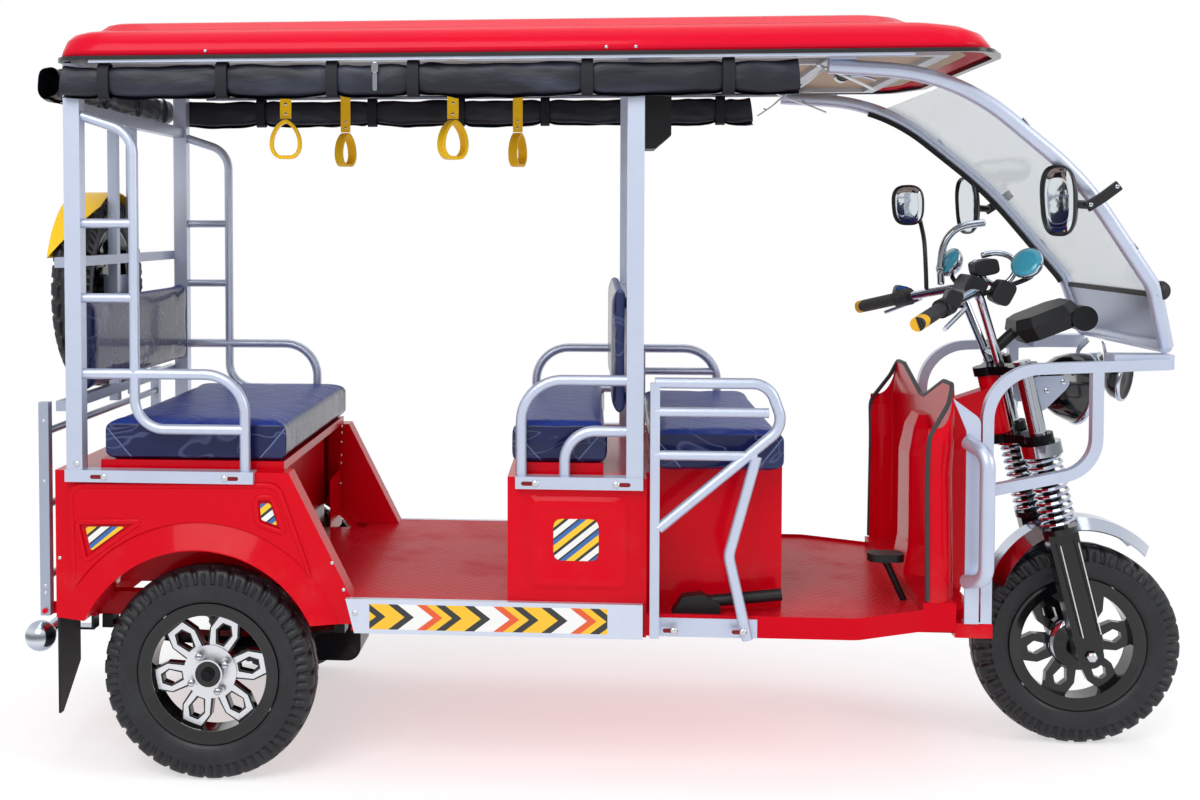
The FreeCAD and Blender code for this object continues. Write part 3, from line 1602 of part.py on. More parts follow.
def hump(base_x, less):
    """The hump over the neck, on the driver's side of the leg shield, smaller all round by a distance."""
    rings = []
    for height, depth, width in hump_levels_share:
        z = cowl_low + (hump_high - cowl_low) * height - less * height
        x = cowl_front_x - cowl_sheet - hump_depth * depth + less
        half = hump_half_width * width - less
        front = half * hump_front_share
        bend = (hump_depth * depth - less) * hump_bend_share
        corners = [V(base_x, -half, z), V(base_x, half, z), V(x, front, z), V(x, -front, z)]
        rings.append(closed(corners, [0, 0, bend, bend]))
    return Part.makeLoft(rings, True, True)


def front_cowl():
    """The leg shield: a sheet pinched at its waist, with two lobes on top, a valley between them and a hump."""
    y = cowl_half_width
    levels = ((0, cowl_low), (cowl_waist, cowl_waist_z), (0, cowl_flare_z), (0, cowl_peak_z))
    shell = Part.makeLoft([cowl_ring(draw_in, z) for draw_in, z in levels], True, True)
    shell = join([shell, hump(cowl_front_x - cowl_sheet / 2, 0)]).cut(hump(cowl_front_x, cowl_sheet))
    top = [
        V(0, -y, cowl_low), V(0, y, cowl_low), V(0, y, cowl_side_z), V(0, cowl_peak_y, cowl_peak_z),
        V(0, cowl_peak_y * lobe_share, cowl_peak_z), V(0, valley_half_width, cowl_valley_z),
        V(0, -valley_half_width, cowl_valley_z), V(0, -cowl_peak_y * lobe_share, cowl_peak_z),
        V(0, -cowl_peak_y, cowl_peak_z), V(0, -y, cowl_side_z),
    ]
    bends = [0, 0] + [lobe_bend] * (len(top) - 2)
    gate = Part.Face(closed(top, bends)).extrude(V(2 * wheelbase, 0, 0))
    return shell.common(gate)


def front_guard():
    """The right front guard: a bent square tube, a drop tube, a flat bar and the tie to the windshield."""
    y = -front_guard_y
    half = guard_tube / 2
    main = box_tube([V(front_guard_x, y, front_guard_low), V(front_guard_x, y, front_guard_high),
                     V(front_guard_end, y, front_guard_end_z)], [front_guard_bend], guard_tube)
    drop = box_tube([V(drop_tube_x, y, front_guard_high), V(drop_tube_x, y, drop_tube_low),
                     V(front_guard_x, y, drop_tube_foot_z)], [drop_bend], guard_tube)
    tie = block(front_guard_end - tie_length, front_guard_end + half, y, -screen_low_y + half,
                front_guard_end_z - half, screen_low_z - screen_tube_radius * screen_beam_share)
    bar_y = y - half
    bar = plate([
        (flat_bar_back, front_guard_low),
        (flat_bar_front, front_guard_low),
        (flat_bar_front, flat_bar_high),
        (flat_bar_tip_x, flat_bar_tip_z),
        (flat_bar_back, flat_bar_high - flat_bar_drop),
    ], [0, 0, flat_bar_drop, 0, flat_bar_drop], bar_y - flat_bar_sheet, bar_y)
    foot = block(flat_bar_back, front_guard_x + half, bar_y, y + half, front_guard_low,
                 front_guard_low + body_sheet)
    handle = tube([
        V(handle_x, bar_y - flat_bar_sheet, handle_high),
        V(handle_out_x, bar_y - handle_out, handle_high - handle_rise),
        V(handle_out_x, bar_y - handle_out, handle_low + handle_rise),
        V(handle_x, bar_y - flat_bar_sheet, handle_low),
    ], [handle_bend, handle_bend], handle_radius)
    return join([main, drop, tie, bar, foot, handle])


def horns():
    """Two disc horns under the front beam, on the left, their faces drawn in."""
    pieces = []
    beam_low = screen_low_z - screen_tube_radius * screen_beam_share
    for y, ahead in horn_places:
        x = wheelbase + ahead
        back = horn_depth * horn_back_share
        disc = Part.makeCylinder(horn_radius, back, V(x, y, horn_z), V(1, 0, 0))
        face = Part.makeCone(horn_radius, horn_radius * horn_face_share, horn_depth - back, V(x + back, y, horn_z),
                             V(1, 0, 0))
        stay = block(x, x + body_sheet, y - horn_stay / 2, y + horn_stay / 2, horn_z, beam_low)
        beam_foot = block(x, screen_low_x, y - horn_stay / 2, y + horn_stay / 2, beam_low - body_sheet, beam_low)
        pieces.append(join([disc, face, stay, beam_foot]))
    return Part.makeCompound(pieces)


# Rear end

def rear_bumper():
    """The chrome bumper tube with a ball at each end and two stays to the chassis."""
    left = V(bumper_x, bumper_y, bumper_z)
    right = V(bumper_x, -bumper_y, bumper_z)
    pieces = [rod(right, left, bumper_tube_radius)]
    for end in (left, right):
        pieces.append(Part.makeSphere(bumper_ball_radius, end))
    for side in (-1, 1):
        y = side * rail_half_width
        low = bumper_z - bumper_tube_radius / 2
        pieces.append(block(bumper_x, rear_panel_x + rail_width, y - stay_width / 2, y + stay_width / 2,
                            low, low + body_sheet * 2))
        pieces.append(block(rear_panel_x + rail_width - body_sheet * 2, rear_panel_x + rail_width,
                            y - stay_width / 2, y + stay_width / 2, low,
                            driver_floor_z - body_sheet - rail_height))
    return join(pieces)


def mudflap():
    """The right mudflap: its foot is cut to a tip on the outer side."""
    x = rear_panel_x + flap_set_in
    outer = -body_half_width
    inner = outer + flap_width
    corners = [
        V(x, outer, rear_panel_bottom),
        V(x, inner, rear_panel_bottom),
        V(x, inner, flap_foot_z),
        V(x, outer + flap_tip_width, flap_low),
        V(x, outer, flap_low),
    ]
    return Part.Face(Part.makePolygon(corners + corners[:1])).extrude(V(flap_sheet, 0, 0))


def carrier_lugs():
    """Red lugs on the tail that carry the folding rack's pivot pins."""
    pieces = []
    for y in (-carrier_y, carrier_y):
        side = 1 if y > 0 else -1
        inner = y - side * (carrier_width / 2 + lug_gap)
        outer = inner - side * lug_sheet
        pieces.append(block(carrier_x - lug_reach, rear_panel_x, min(inner, outer), max(inner, outer),
                            carrier_pivot_z - lug_half, carrier_pivot_z + lug_half))
        pin_end = y + side * (carrier_width / 2 + pin_proud)
        pieces.append(rod(V(carrier_x, outer, carrier_pivot_z), V(carrier_x, pin_end, carrier_pivot_z),
                          carrier_pin_radius))
    return pieces


def rear_carrier():
    """The folding luggage rack, stored upright behind the tail."""
    pieces = []
    half = carrier_width / 2
    for side in (-1, 1):
        y = side * carrier_y
        pieces.append(block(carrier_x - half, carrier_x + half, y - half, y + half,
                            carrier_pivot_z - half, carrier_top))
    for z in carrier_bars:
        pieces.append(rod(V(carrier_x, -carrier_y, z), V(carrier_x, carrier_y, z), carrier_bar_radius))
    solid = join(pieces)
    reach = body_half_width + carrier_width
    return solid.cut(rod(V(carrier_x, -reach, carrier_pivot_z), V(carrier_x, reach, carrier_pivot_z),
                         carrier_pin_radius + pin_clearance))


def tail_lamps():
    """Rear lamps on the tail panel."""
    y = tail_lamp_y
    lamp = block(rear_panel_x - tail_lamp_depth, rear_panel_x, -y - tail_lamp_width / 2, -y + tail_lamp_width / 2,
                 tail_lamp_z, tail_lamp_z + tail_lamp_height)
    return both(lamp)


def leaf_spring(side):
    """A pack of curved leaves under one rail, with a hanger at each end."""
    rail_z = driver_floor_z - body_sheet - rail_height
    seat_z = tyre_radius + axle_tube_radius - leaf_sheet
    y0 = side * rail_half_width - leaf_width / 2
    pieces = []
    for leaf in range(leaf_count):
        share = 1 - leaf / leaf_count
        reach = leaf_half_length * share
        low = seat_z + leaf_sheet * (leaf_count - leaf - 1)
        rise = (leaf_eye_z - seat_z - leaf_sheet * leaf_count) * share * share
        bottom = Part.Arc(V(-reach, y0, low + rise), V(0, y0, low), V(reach, y0, low + rise)).toShape()
        top = moved(bottom, V(0, 0, leaf_sheet))
        ends = [
            Part.LineSegment(V(x, y0, low + rise), V(x, y0, low + rise + leaf_sheet)).toShape()
            for x in (-reach, reach)
        ]
        outline = Part.Wire(Part.__sortEdges__([bottom, top] + ends))
        pieces.append(Part.Face(outline).extrude(V(0, leaf_width, 0)))
    for x in (-leaf_half_length, leaf_half_length - hanger_length):
        pieces.append(block(x, x + hanger_length, y0, y0 + leaf_width, leaf_eye_z - leaf_sheet * 2, rail_z))
    return join(pieces)


def rear_axle():
    """The axle tube, the geared motor's block and the leaf springs under the rails."""
    axle = V(0, 0, tyre_radius)
    end = rear_half_track - rim_flange_width / 2 - hub_gap
    housing = rod(axle - V(0, end, 0), axle + V(0, end, 0), axle_tube_radius)
    nut_at = rear_half_track + rim_flange_width / 2 + seat_gap
    spindle_end = nut_at + axle_nut_height
    spindle = rod(axle - V(0, spindle_end, 0), axle + V(0, spindle_end, 0), axle_radius)
    high = tyre_radius + motor_height / 2
    low = tyre_radius - motor_height / 2
    outline = [(-motor_height / 2, low), (motor_length, low), (motor_length, high), (-motor_height / 2, high)]
    motor = plate(outline, [motor_bend] * len(outline), -motor_width / 2, motor_width / 2)
    pieces = [housing, spindle, motor]
    for side in (-1, 1):
        pieces.append(rod(axle + V(0, side * nut_at, 0), axle + V(0, side * (nut_at + axle_nut_height / 2), 0),
                          axle_nut_radius))
    return join([join(pieces), leaf_spring(-1), leaf_spring(1)])


# Spare wheel

def turned_to_rear(shape, centre):
    """A wheel whose axle pointed along Y, turned to face back and set at its place."""
    shape.rotate(V(0, 0, 0), V(0, 0, 1), -90)
    shape.translate(centre)
    return shape


spare_centre = V(spare_x, 0, spare_z)


def spare_cover():
    """The yellow hood over the upper half of the spare tyre."""
    half = tyre_width / 2 + cover_gap
    outer = tyre_radius + cover_gap + cover_sheet
    shell = Part.makeCylinder(outer, 2 * half, spare_centre - V(half, 0, 0), V(1, 0, 0))
    hollow = Part.makeCylinder(outer - cover_sheet, 2 * half, spare_centre - V(half - cover_sheet, 0, 0), V(1, 0, 0))
    window = Part.makeCylinder(cover_window_radius, 2 * half, spare_centre - V(half, 0, 0), V(1, 0, 0))
    low = spare_z + cover_low
    corners = [
        V(spare_x - half, -outer, low),
        V(spare_x + half, -outer, low + cover_rise),
        V(spare_x + half, -outer, spare_z + outer),
        V(spare_x - half, -outer, spare_z + outer),
    ]
    gate = Part.Face(Part.makePolygon(corners + corners[:1])).extrude(V(0, 2 * outer, 0))
    return shell.cut(hollow).cut(window).common(gate)


def spare_carrier():
    """Uprights and bars behind the rear seat that carry the backrest and the spare wheel."""
    half = carrier_tube / 2
    x = rear_post_x - post_size / 2 - half
    y_in = post_outer
    pieces = []
    for side in (-1, 1):
        y = side * spare_upright_y
        pieces.append(block(x - half, x + half, y - half, y + half, rear_panel_top + carrier_base,
                            cross_beam_z + roof_rail_width / 2))
    for z in (spare_bar_low, spare_bar_high):
        pieces.append(block(x - half, x + half, -y_in, y_in, z - half, z + half))
    plate_x = spare_x + rim_flange_width / 2
    pieces.append(block(plate_x, x - half, -spare_upright_y, spare_upright_y, spare_z - spare_plate_half,
                        spare_z + spare_plate_half))
    pieces.append(rod(V(spare_x - rim_flange_width / 2, 0, spare_z), V(plate_x, 0, spare_z), axle_radius))
    beam = rear_cross_beam()
    pieces.append(beam)
    return join(pieces)


# Driver's controls

def driver_controls():
    """The foot brake and the hand brake lever on the driver's floor."""
    y0 = -pedal_y - pedal_width / 2
    y1 = -pedal_y + pedal_width / 2
    x1 = pedal_x + pedal_length
    corners = [V(pedal_x, y0, pedal_z), V(x1, y0, pedal_z), V(x1, y1, pedal_z), V(pedal_x, y1, pedal_z)]
    pad = Part.Face(closed(corners, [pedal_bend] * 4)).extrude(V(0, 0, pedal_thickness))
    arm = rod(V(pedal_foot_x, -pedal_y, driver_floor_z), V(pedal_x + pedal_length / 2, -pedal_y, pedal_z), pedal_arm)
    under = block(pedal_x, pedal_foot_x + pedal_length, -pedal_y - pedal_width, -pedal_y + pedal_width,
                  driver_floor_low, driver_floor_z)
    pedal = join([pad, arm]).cut(under)
    low = driver_floor_z
    outline = [(lever_x + lever_base_length * length, low + lever_base_height * height)
               for length, height in lever_base_shares]
    base = plate(outline, [0, 0] + [lever_base_bend] * (len(outline) - 2), -lever_y - lever_base_width / 2,
                 -lever_y + lever_base_width / 2)
    grip = rod(V(lever_x + lever_base_length / 2, -lever_y, low + lever_base_height / 2),
               V(lever_x + lever_length, -lever_y, low + lever_base_height), lever_radius)
    lever = join([base, grip])
    return Part.makeCompound([pedal, lever])


# Every piece by its name

def pieces_by_name():
    rear_right = V(0, -rear_half_track, tyre_radius)
    rear_left = V(0, rear_half_track, tyre_radius)
    front = V(wheelbase, 0, tyre_radius)
    one_tyre = tyre()
    face_right = rim()
    face_left = mirrored(face_right)
    return {
        "chassis_frame": chassis_frame(),
        "passenger_floor": passenger_floor(),
        "driver_floor": driver_floor(),
        "sill_strips": both(sill_strip()),
        "rear_side_panels": both(rear_side_panel()),
        "rear_seat_box": rear_seat_box(),
        "rear_cushion": cushion(rear_cushion_back, rear_cushion_front, cushion_half_width, rear_cushion_low,
                                rear_cushion_high),
        "rear_backrest": cushion(rear_back_front - rear_back_thickness, rear_back_front,
                                 post_outer - post_size - seat_side_gap, rear_back_low, rear_back_high),
        "spare_carrier": spare_carrier(),
        "spare_tyre": turned_to_rear(one_tyre.copy(), spare_centre),
        "spare_rim": turned_to_rear(face_right.copy(), spare_centre),
        "spare_cover": spare_cover(),
        "rear_side_frames": both(rear_side_frame()),
        "middle_side_frames": middle_side_frames(),
        "driver_guard": driver_guard(),
        "driver_armrest": driver_armrest(),
        "seat_box": seat_box(),
        "middle_cushion": cushion(middle_box_back, middle_cushion_front, cushion_half_width, middle_cushion_low,
                                  middle_cushion_high),
        "driver_cushion": cushion(driver_cushion_back, driver_cushion_front, cushion_half_width,
                                  driver_cushion_low, driver_cushion_high),
        "middle_backrest": cushion(middle_back_x, middle_back_x + middle_back_thickness,
                                   middle_back_half_width, middle_back_low, middle_back_high),
        "roof_shell": roof_shell(),
        "roof_trim": roof_trim(),
        "roof_frame": roof_frame(),
        "curtain_rolls": curtain_rolls(),
        "ceiling_box": ceiling_box(),
        "hand_loops": hand_loops(),
        "windshield_frame": windshield_frame(),
        "windshield_glass": windshield_glass(),
        "front_panel": front_panel(),
        "frame_mirrors": frame_mirrors(),
        "front_cowl": front_cowl(),
        "front_guards": both(front_guard()),
        "horns": horns(),
        "rear_bumper": rear_bumper(),
        "mudflaps": both(mudflap()),
        "rear_carrier": rear_carrier(),
        "tail_lamps": tail_lamps(),
        "rear_axle": rear_axle(),
        "driver_controls": driver_controls(),
        "fork_yokes": fork_yokes(),
        "fork_legs": fork_legs(),
        "fork_springs": fork_springs(),
        "front_fender": front_fender(),
        "handlebar": handlebar(),
        "grips": grips(),
        "meter_box": meter_box(),
        "headlamp": headlamp(),
        "bar_mirror": bar_mirror(),
        "front_tyre": moved(one_tyre, front),
        "front_rim": moved(face_left, front),
        "rear_tyre_right": moved(one_tyre, rear_right),
        "rear_rim_right": moved(face_right, rear_right),
        "rear_tyre_left": moved(one_tyre, rear_left),
        "rear_rim_left": moved(face_left, rear_left),
    }


# The rearmost point is the bumper's ball and the foremost is the front tyre.
middle_x = (bumper_x - bumper_ball_radius + wheelbase + tyre_radius) / 2

os.makedirs("parts", exist_ok=True)
for name, shape in pieces_by_name().items():
    shape.translate(V(-middle_x, 0, 0))
    shape.exportStep("parts/" + name + ".step")
    print(name, len(shape.Solids), shape.isValid(), round(shape.Volume / 1000))
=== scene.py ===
"""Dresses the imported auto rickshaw: finishes for every CAD piece, and the soft and fine pieces over them.

Everything is in metres in the part's own frame: +X forward, +Y to its left, +Z up, z = 0 on the ground.
"""

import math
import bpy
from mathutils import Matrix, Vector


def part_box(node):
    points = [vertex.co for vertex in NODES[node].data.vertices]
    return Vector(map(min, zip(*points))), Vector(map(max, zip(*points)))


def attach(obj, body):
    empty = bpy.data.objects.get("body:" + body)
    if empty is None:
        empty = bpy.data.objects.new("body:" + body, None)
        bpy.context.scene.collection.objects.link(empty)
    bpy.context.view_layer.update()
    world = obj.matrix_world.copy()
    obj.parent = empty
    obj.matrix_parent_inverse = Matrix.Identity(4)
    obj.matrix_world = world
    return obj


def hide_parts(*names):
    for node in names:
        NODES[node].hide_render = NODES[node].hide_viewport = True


bl_info = {
    "name": "Auto rickshaw looks",
    "version": (1, 0, 0),
    "blender": (4, 5, 0),
    "location": "View3D > Sidebar > Rickshaw",
    "description": "Finishes, seats, curtains, tyres and fittings of a battery auto rickshaw",
    "category": "Object",
}

import bmesh
import bpy
import numpy as np
from mathutils import Vector

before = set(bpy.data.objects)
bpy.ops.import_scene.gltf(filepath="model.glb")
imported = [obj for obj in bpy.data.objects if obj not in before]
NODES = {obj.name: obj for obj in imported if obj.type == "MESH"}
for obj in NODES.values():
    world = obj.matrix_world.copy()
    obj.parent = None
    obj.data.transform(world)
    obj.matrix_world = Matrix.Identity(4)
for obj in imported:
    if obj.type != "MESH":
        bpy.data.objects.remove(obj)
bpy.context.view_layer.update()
TAU = 2 * math.pi


def middle(node):
    """The middle of a CAD node's box."""
    low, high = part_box(node)
    return (low + high) / 2


AXLE_X = middle("rear_tyre_right").x
FRONT_X = middle("front_tyre").x


def tint(red, green, blue):
    """Display values from 0 to 255 as the linear colour that a shader takes."""
    linear = [(value / 255 / 12.92) if value < 11 else ((value / 255 + 0.055) / 1.055) ** 2.4
              for value in (red, green, blue)]
    return (*linear, 1.0)


class Signal:
    """A number or vector in a material; Python's own signs on it add Math nodes."""

    def __init__(self, finish, socket):
        self.finish = finish
        self.socket = socket

    def maths(self, operation, *values):
        return self.finish.add("Math", {"operation": operation}, values)

    def __add__(self, other):
        return self.maths("ADD", self, other)

    def __sub__(self, other):
        return self.maths("SUBTRACT", self, other)

    def __rsub__(self, other):
        return self.maths("SUBTRACT", other, self)

    def __mul__(self, other):
        return self.maths("MULTIPLY", self, other)

    def __truediv__(self, other):
        return self.maths("DIVIDE", self, other)

    def __rtruediv__(self, other):
        return self.maths("DIVIDE", other, self)

    def __pow__(self, other):
        return self.maths("POWER", self, other)

    def __mod__(self, other):
        return self.maths("FLOORED_MODULO", self, other)

    def __gt__(self, other):
        return self.maths("GREATER_THAN", self, other)

    def __lt__(self, other):
        return self.maths("LESS_THAN", self, other)

    def __abs__(self):
        return self.maths("ABSOLUTE", self)

    __radd__ = __add__
    __rmul__ = __mul__

    def sine(self):
        return self.maths("SINE", self)

    def least(self, other):
        return self.maths("MINIMUM", self, other)

    def most(self, other):
        return self.maths("MAXIMUM", self, other)

    def ramp(self, start, end):
        """0 below start, 1 above end and a smooth rise between; start may be the larger."""
        return self.finish.add("MapRange", {"interpolation_type": "SMOOTHSTEP"}, {0: self, 1: start, 2: end})


def shade(colour, share):
    """A colour darkened to a share of its light."""
    return (*(value * share for value in colour[:3]), 1.0)


class Finish:
    """One procedural material, built from nodes that one method adds."""

    def __init__(self, name):
        self.material = bpy.data.materials.new(name)
        self.material.use_nodes = True
        self.tree = self.material.node_tree
        self.tree.nodes.clear()
        self.out = self.tree.nodes.new("ShaderNodeOutputMaterial")

    def put(self, socket, value):
        """Links a signal to a socket or sets the socket's own value; None leaves it."""
        if isinstance(value, Signal):
            self.tree.links.new(value.socket, socket)
        elif value is not None:
            socket.default_value = value

    def add(self, kind, settings=None, values=(), output=0):
        """A node of a kind, with its settings made first and then its inputs set or linked."""
        node = self.tree.nodes.new("ShaderNode" + kind)
        for name, value in (settings or {}).items():
            setattr(node, name, value)
        pairs = values.items() if isinstance(values, dict) else enumerate(values)
        for place, value in pairs:
            self.put(node.inputs[place], value)
        return Signal(self, node.outputs[output])

    def place(self):
        """The point on the piece, in its own frame."""
        return self.add("TexCoord", output="Object")

    def axes(self, vector=None):
        """X, Y and Z of a vector, or of the point on the piece."""
        split = self.add("SeparateXYZ", values=[vector or self.place()]).socket.node
        return [Signal(self, output) for output in split.outputs]

    def facing(self):
        """X, Y and Z of the way that the surface faces."""
        return self.axes(self.add("NewGeometry", output="Normal"))

    def noise(self, scale, detail=3.0, rough=0.5, vector=None, bend=0.0):
        """Cloudy noise from 0 to 1; scale is in clouds a metre."""
        values = {"Vector": vector or self.place(), "Scale": scale, "Detail": detail, "Roughness": rough,
                  "Distortion": bend}
        return self.add("TexNoise", values=values)

    def cells(self, scale, feature="F1"):
        """The distance to the nearest cell's middle, or to its edge."""
        values = {"Vector": self.place(), "Scale": scale}
        return self.add("TexVoronoi", {"feature": feature}, values, "Distance")

    def blend(self, share, first, second):
        """One colour turning into another as share goes from 0 to 1."""
        return self.add("Mix", {"data_type": "RGBA"}, {0: share, 6: first, 7: second}, 2)

    def stretch(self, x, y, z):
        """The point on the piece, scaled by three numbers."""
        return self.add("Mapping", values={0: self.place(), 3: (x, y, z)})

    def bump(self, height, distance=0.001, strength=1.0, under=None):
        """The normal over a height, on top of another normal where one is given."""
        values = {"Height": height, "Distance": distance, "Strength": strength}
        if under:
            values["Normal"] = under
        return self.add("Bump", values=values)

    def surface(self, base, rough=0.5, metal=0.0, normal=None, coat=0.0, **constants):
        """The principled surface; the keywords are sockets that hold one value all over."""
        shader = self.tree.nodes.new("ShaderNodeBsdfPrincipled")
        values = {"Base Color": base, "Roughness": rough, "Metallic": metal, "Normal": normal,
                  "Coat Weight": coat}
        values.update({name.replace("_", " "): value for name, value in constants.items()})
        for name, value in values.items():
            self.put(shader.inputs[name], value)
        self.tree.links.new(shader.outputs[0], self.out.inputs[0])
        return self.material


def gloss_paint(name, colour, wave=0.0004):
    """Sprayed gloss paint with a faint orange peel and a little dust low down."""
    finish = Finish(name)
    peel = finish.noise(190, 2)
    dents = finish.noise(5, 2)
    dust = finish.axes()[2].ramp(0.75, 0.3) * finish.noise(9, 5, 0.65).ramp(0.5, 0.85)
    base = finish.blend(dust * 0.12, colour, tint(196, 150, 140))
    base = finish.blend(finish.noise(1.7, 2).ramp(0.3, 0.75) * 0.22, base, shade(colour, 0.72))
    normal = finish.bump(dents * 4 + peel * 0.25, wave)
    return finish.surface(base, dust * 0.25 + 0.2, 0.0, normal, 0.12, Coat_Roughness=0.06,
                          Specular_IOR_Level=0.05)


def silver_paint(name, colour, metal=0.55, rough=0.36):
    """Silver-grey enamel on steel tube: soft sheen, brushed clouds and a few grey scuffs."""
    finish = Finish(name)
    cloud = finish.noise(7, 4, 0.6)
    scuff = finish.noise(60, 6, 0.75).ramp(0.66, 0.78)
    base = finish.blend(cloud, colour, shade(colour, 0.8))
    base = finish.blend(scuff * 0.35, base, tint(120, 122, 126))
    normal = finish.bump(finish.noise(240, 2) + cloud * 3, 0.00035)
    return finish.surface(base, cloud * 0.18 + rough - 0.08 + scuff * 0.15, metal, normal, 0.25,
                          Coat_Roughness=0.2)


def polished(name, colour, rough=0.09, specks=0.3, painted_reflection=0.0):
    """Chrome or bright metal with faint haze and a few dull specks, and painted reflection: faces that look
    level carry a painted dark band and faces turned up or down a painted grey-blue band, standing in for what
    polished plate reflects."""
    finish = Finish(name)
    haze = finish.noise(14, 4, 0.6)
    speck = finish.cells(320).ramp(0.12, 0.02) * finish.noise(20, 2).ramp(0.5, 0.7)
    base = finish.blend(speck * specks, colour, tint(120, 108, 96))
    # painted reflection: a dark band on faces that look level, a grey-blue band on faces turned up or down
    level = abs(finish.facing()[2] - 0.12)
    base = finish.blend(level.ramp(0.34, 0.04) * painted_reflection, base, tint(58, 62, 70))
    base = finish.blend(level.ramp(0.30, 0.80) * painted_reflection * 0.7, base, tint(132, 146, 176))
    normal = finish.bump(finish.noise(26, 2), 0.0005)
    return finish.surface(base, haze * 0.1 + rough - 0.03 + speck * 0.2, 1.0, normal)


def plastic(name, colour, rough=0.45, grain=700, depth=0.00012, coat=0.0):
    """Moulded plastic or rubber with a fine grain and worn pale patches."""
    finish = Finish(name)
    wear = finish.noise(18, 5, 0.7).ramp(0.55, 0.8)
    pale = (*(min(1.0, value * 1.7 + 0.012) for value in colour[:3]), 1.0)
    base = finish.blend(wear * 0.5, colour, pale)
    normal = finish.bump(finish.noise(grain, 2), depth)
    return finish.surface(base, wear * 0.12 + rough, 0.0, normal, coat, Coat_Roughness=0.12,
                          Specular_IOR_Level=0.3)


LUG_PITCH = 0.030
DIAGONAL = 0.7071


def tread_plate(name, colour):
    """Painted chequer sheet: rows of lens-shaped lugs that turn a quarter from one to the next."""
    finish = Finish(name)
    x, y = finish.axes()[:2]
    raised = None
    for shift, slant in ((0.0, 1), (0.5, -1)):
        u = (x / LUG_PITCH + shift) % 1.0 - 0.5
        v = (y / LUG_PITCH + shift) % 1.0 - 0.5
        lengthwise = (u + v * slant) * DIAGONAL
        crosswise = (u - v * slant) * DIAGONAL
        lug = ((lengthwise * 2.7) ** 2 + (crosswise * 8.5) ** 2).ramp(1.0, 0.35)
        raised = lug if raised is None else raised.most(lug)
    up = finish.facing()[2].ramp(0.6, 0.9)
    dirt = finish.noise(6, 5, 0.65).ramp(0.45, 0.8) * up
    base = finish.blend(dirt * 0.12 + up * (1 - raised) * 0.05, colour, tint(196, 90, 100))
    normal = finish.bump(raised * up, 0.0016)
    return finish.surface(base, dirt * 0.2 + 0.3, 0.0, normal, 0.04, Coat_Roughness=0.1,
                          Specular_IOR_Level=0.04)


def tread_rubber(name):
    """Tyre rubber: fine rings down the wall, chalky bloom and a red dash in the middle groove."""
    finish = Finish(name)
    ring = finish.add("Attribute", {"attribute_name": "wall"}, output="Fac")
    dash = finish.add("Attribute", {"attribute_name": "dash"}, output="Fac")
    bloom = finish.noise(16, 5, 0.7).ramp(0.4, 0.8)
    base = finish.blend(bloom * 0.4, tint(20, 21, 25), tint(58, 60, 68))
    base = finish.blend(dash, base, tint(176, 26, 36))
    normal = finish.bump((ring * 900).sine() * 0.35 + finish.noise(420, 3) * 0.5, 0.0003)
    return finish.surface(base, 0.42 + bloom * 0.2, 0.0, normal, Specular_IOR_Level=0.4)


def clear_glass(name, colour=(0.965, 0.98, 0.985, 1.0)):
    """A thin clear sheet: mostly see-through, mirror-like at a glance, with wiped dust."""
    finish = Finish(name)
    dust = finish.noise(5, 5, 0.7).ramp(0.5, 0.85) * finish.noise(1.3, 1).ramp(0.35, 0.7)
    clear = finish.add("BsdfTransparent", values=[colour])
    values = {"Base Color": tint(214, 222, 228), "Roughness": 0.03 + dust * 0.3, "Metallic": 0.0}
    gloss = finish.add("BsdfPrincipled", values=values)
    grazing = finish.add("LayerWeight", values=[0.35], output="Fresnel")
    share = (grazing * 0.5 + 0.02 + dust * 0.05).least(0.9)
    mixed = finish.add("MixShader", values=[share, clear, gloss])
    finish.put(finish.out.inputs[0], mixed)
    return finish.material


SEATS = ("rear_cushion", "rear_backrest", "middle_cushion", "middle_backrest", "driver_cushion")
QUILT_PITCH = 0.16
PARCEL_FOLD = 0.85


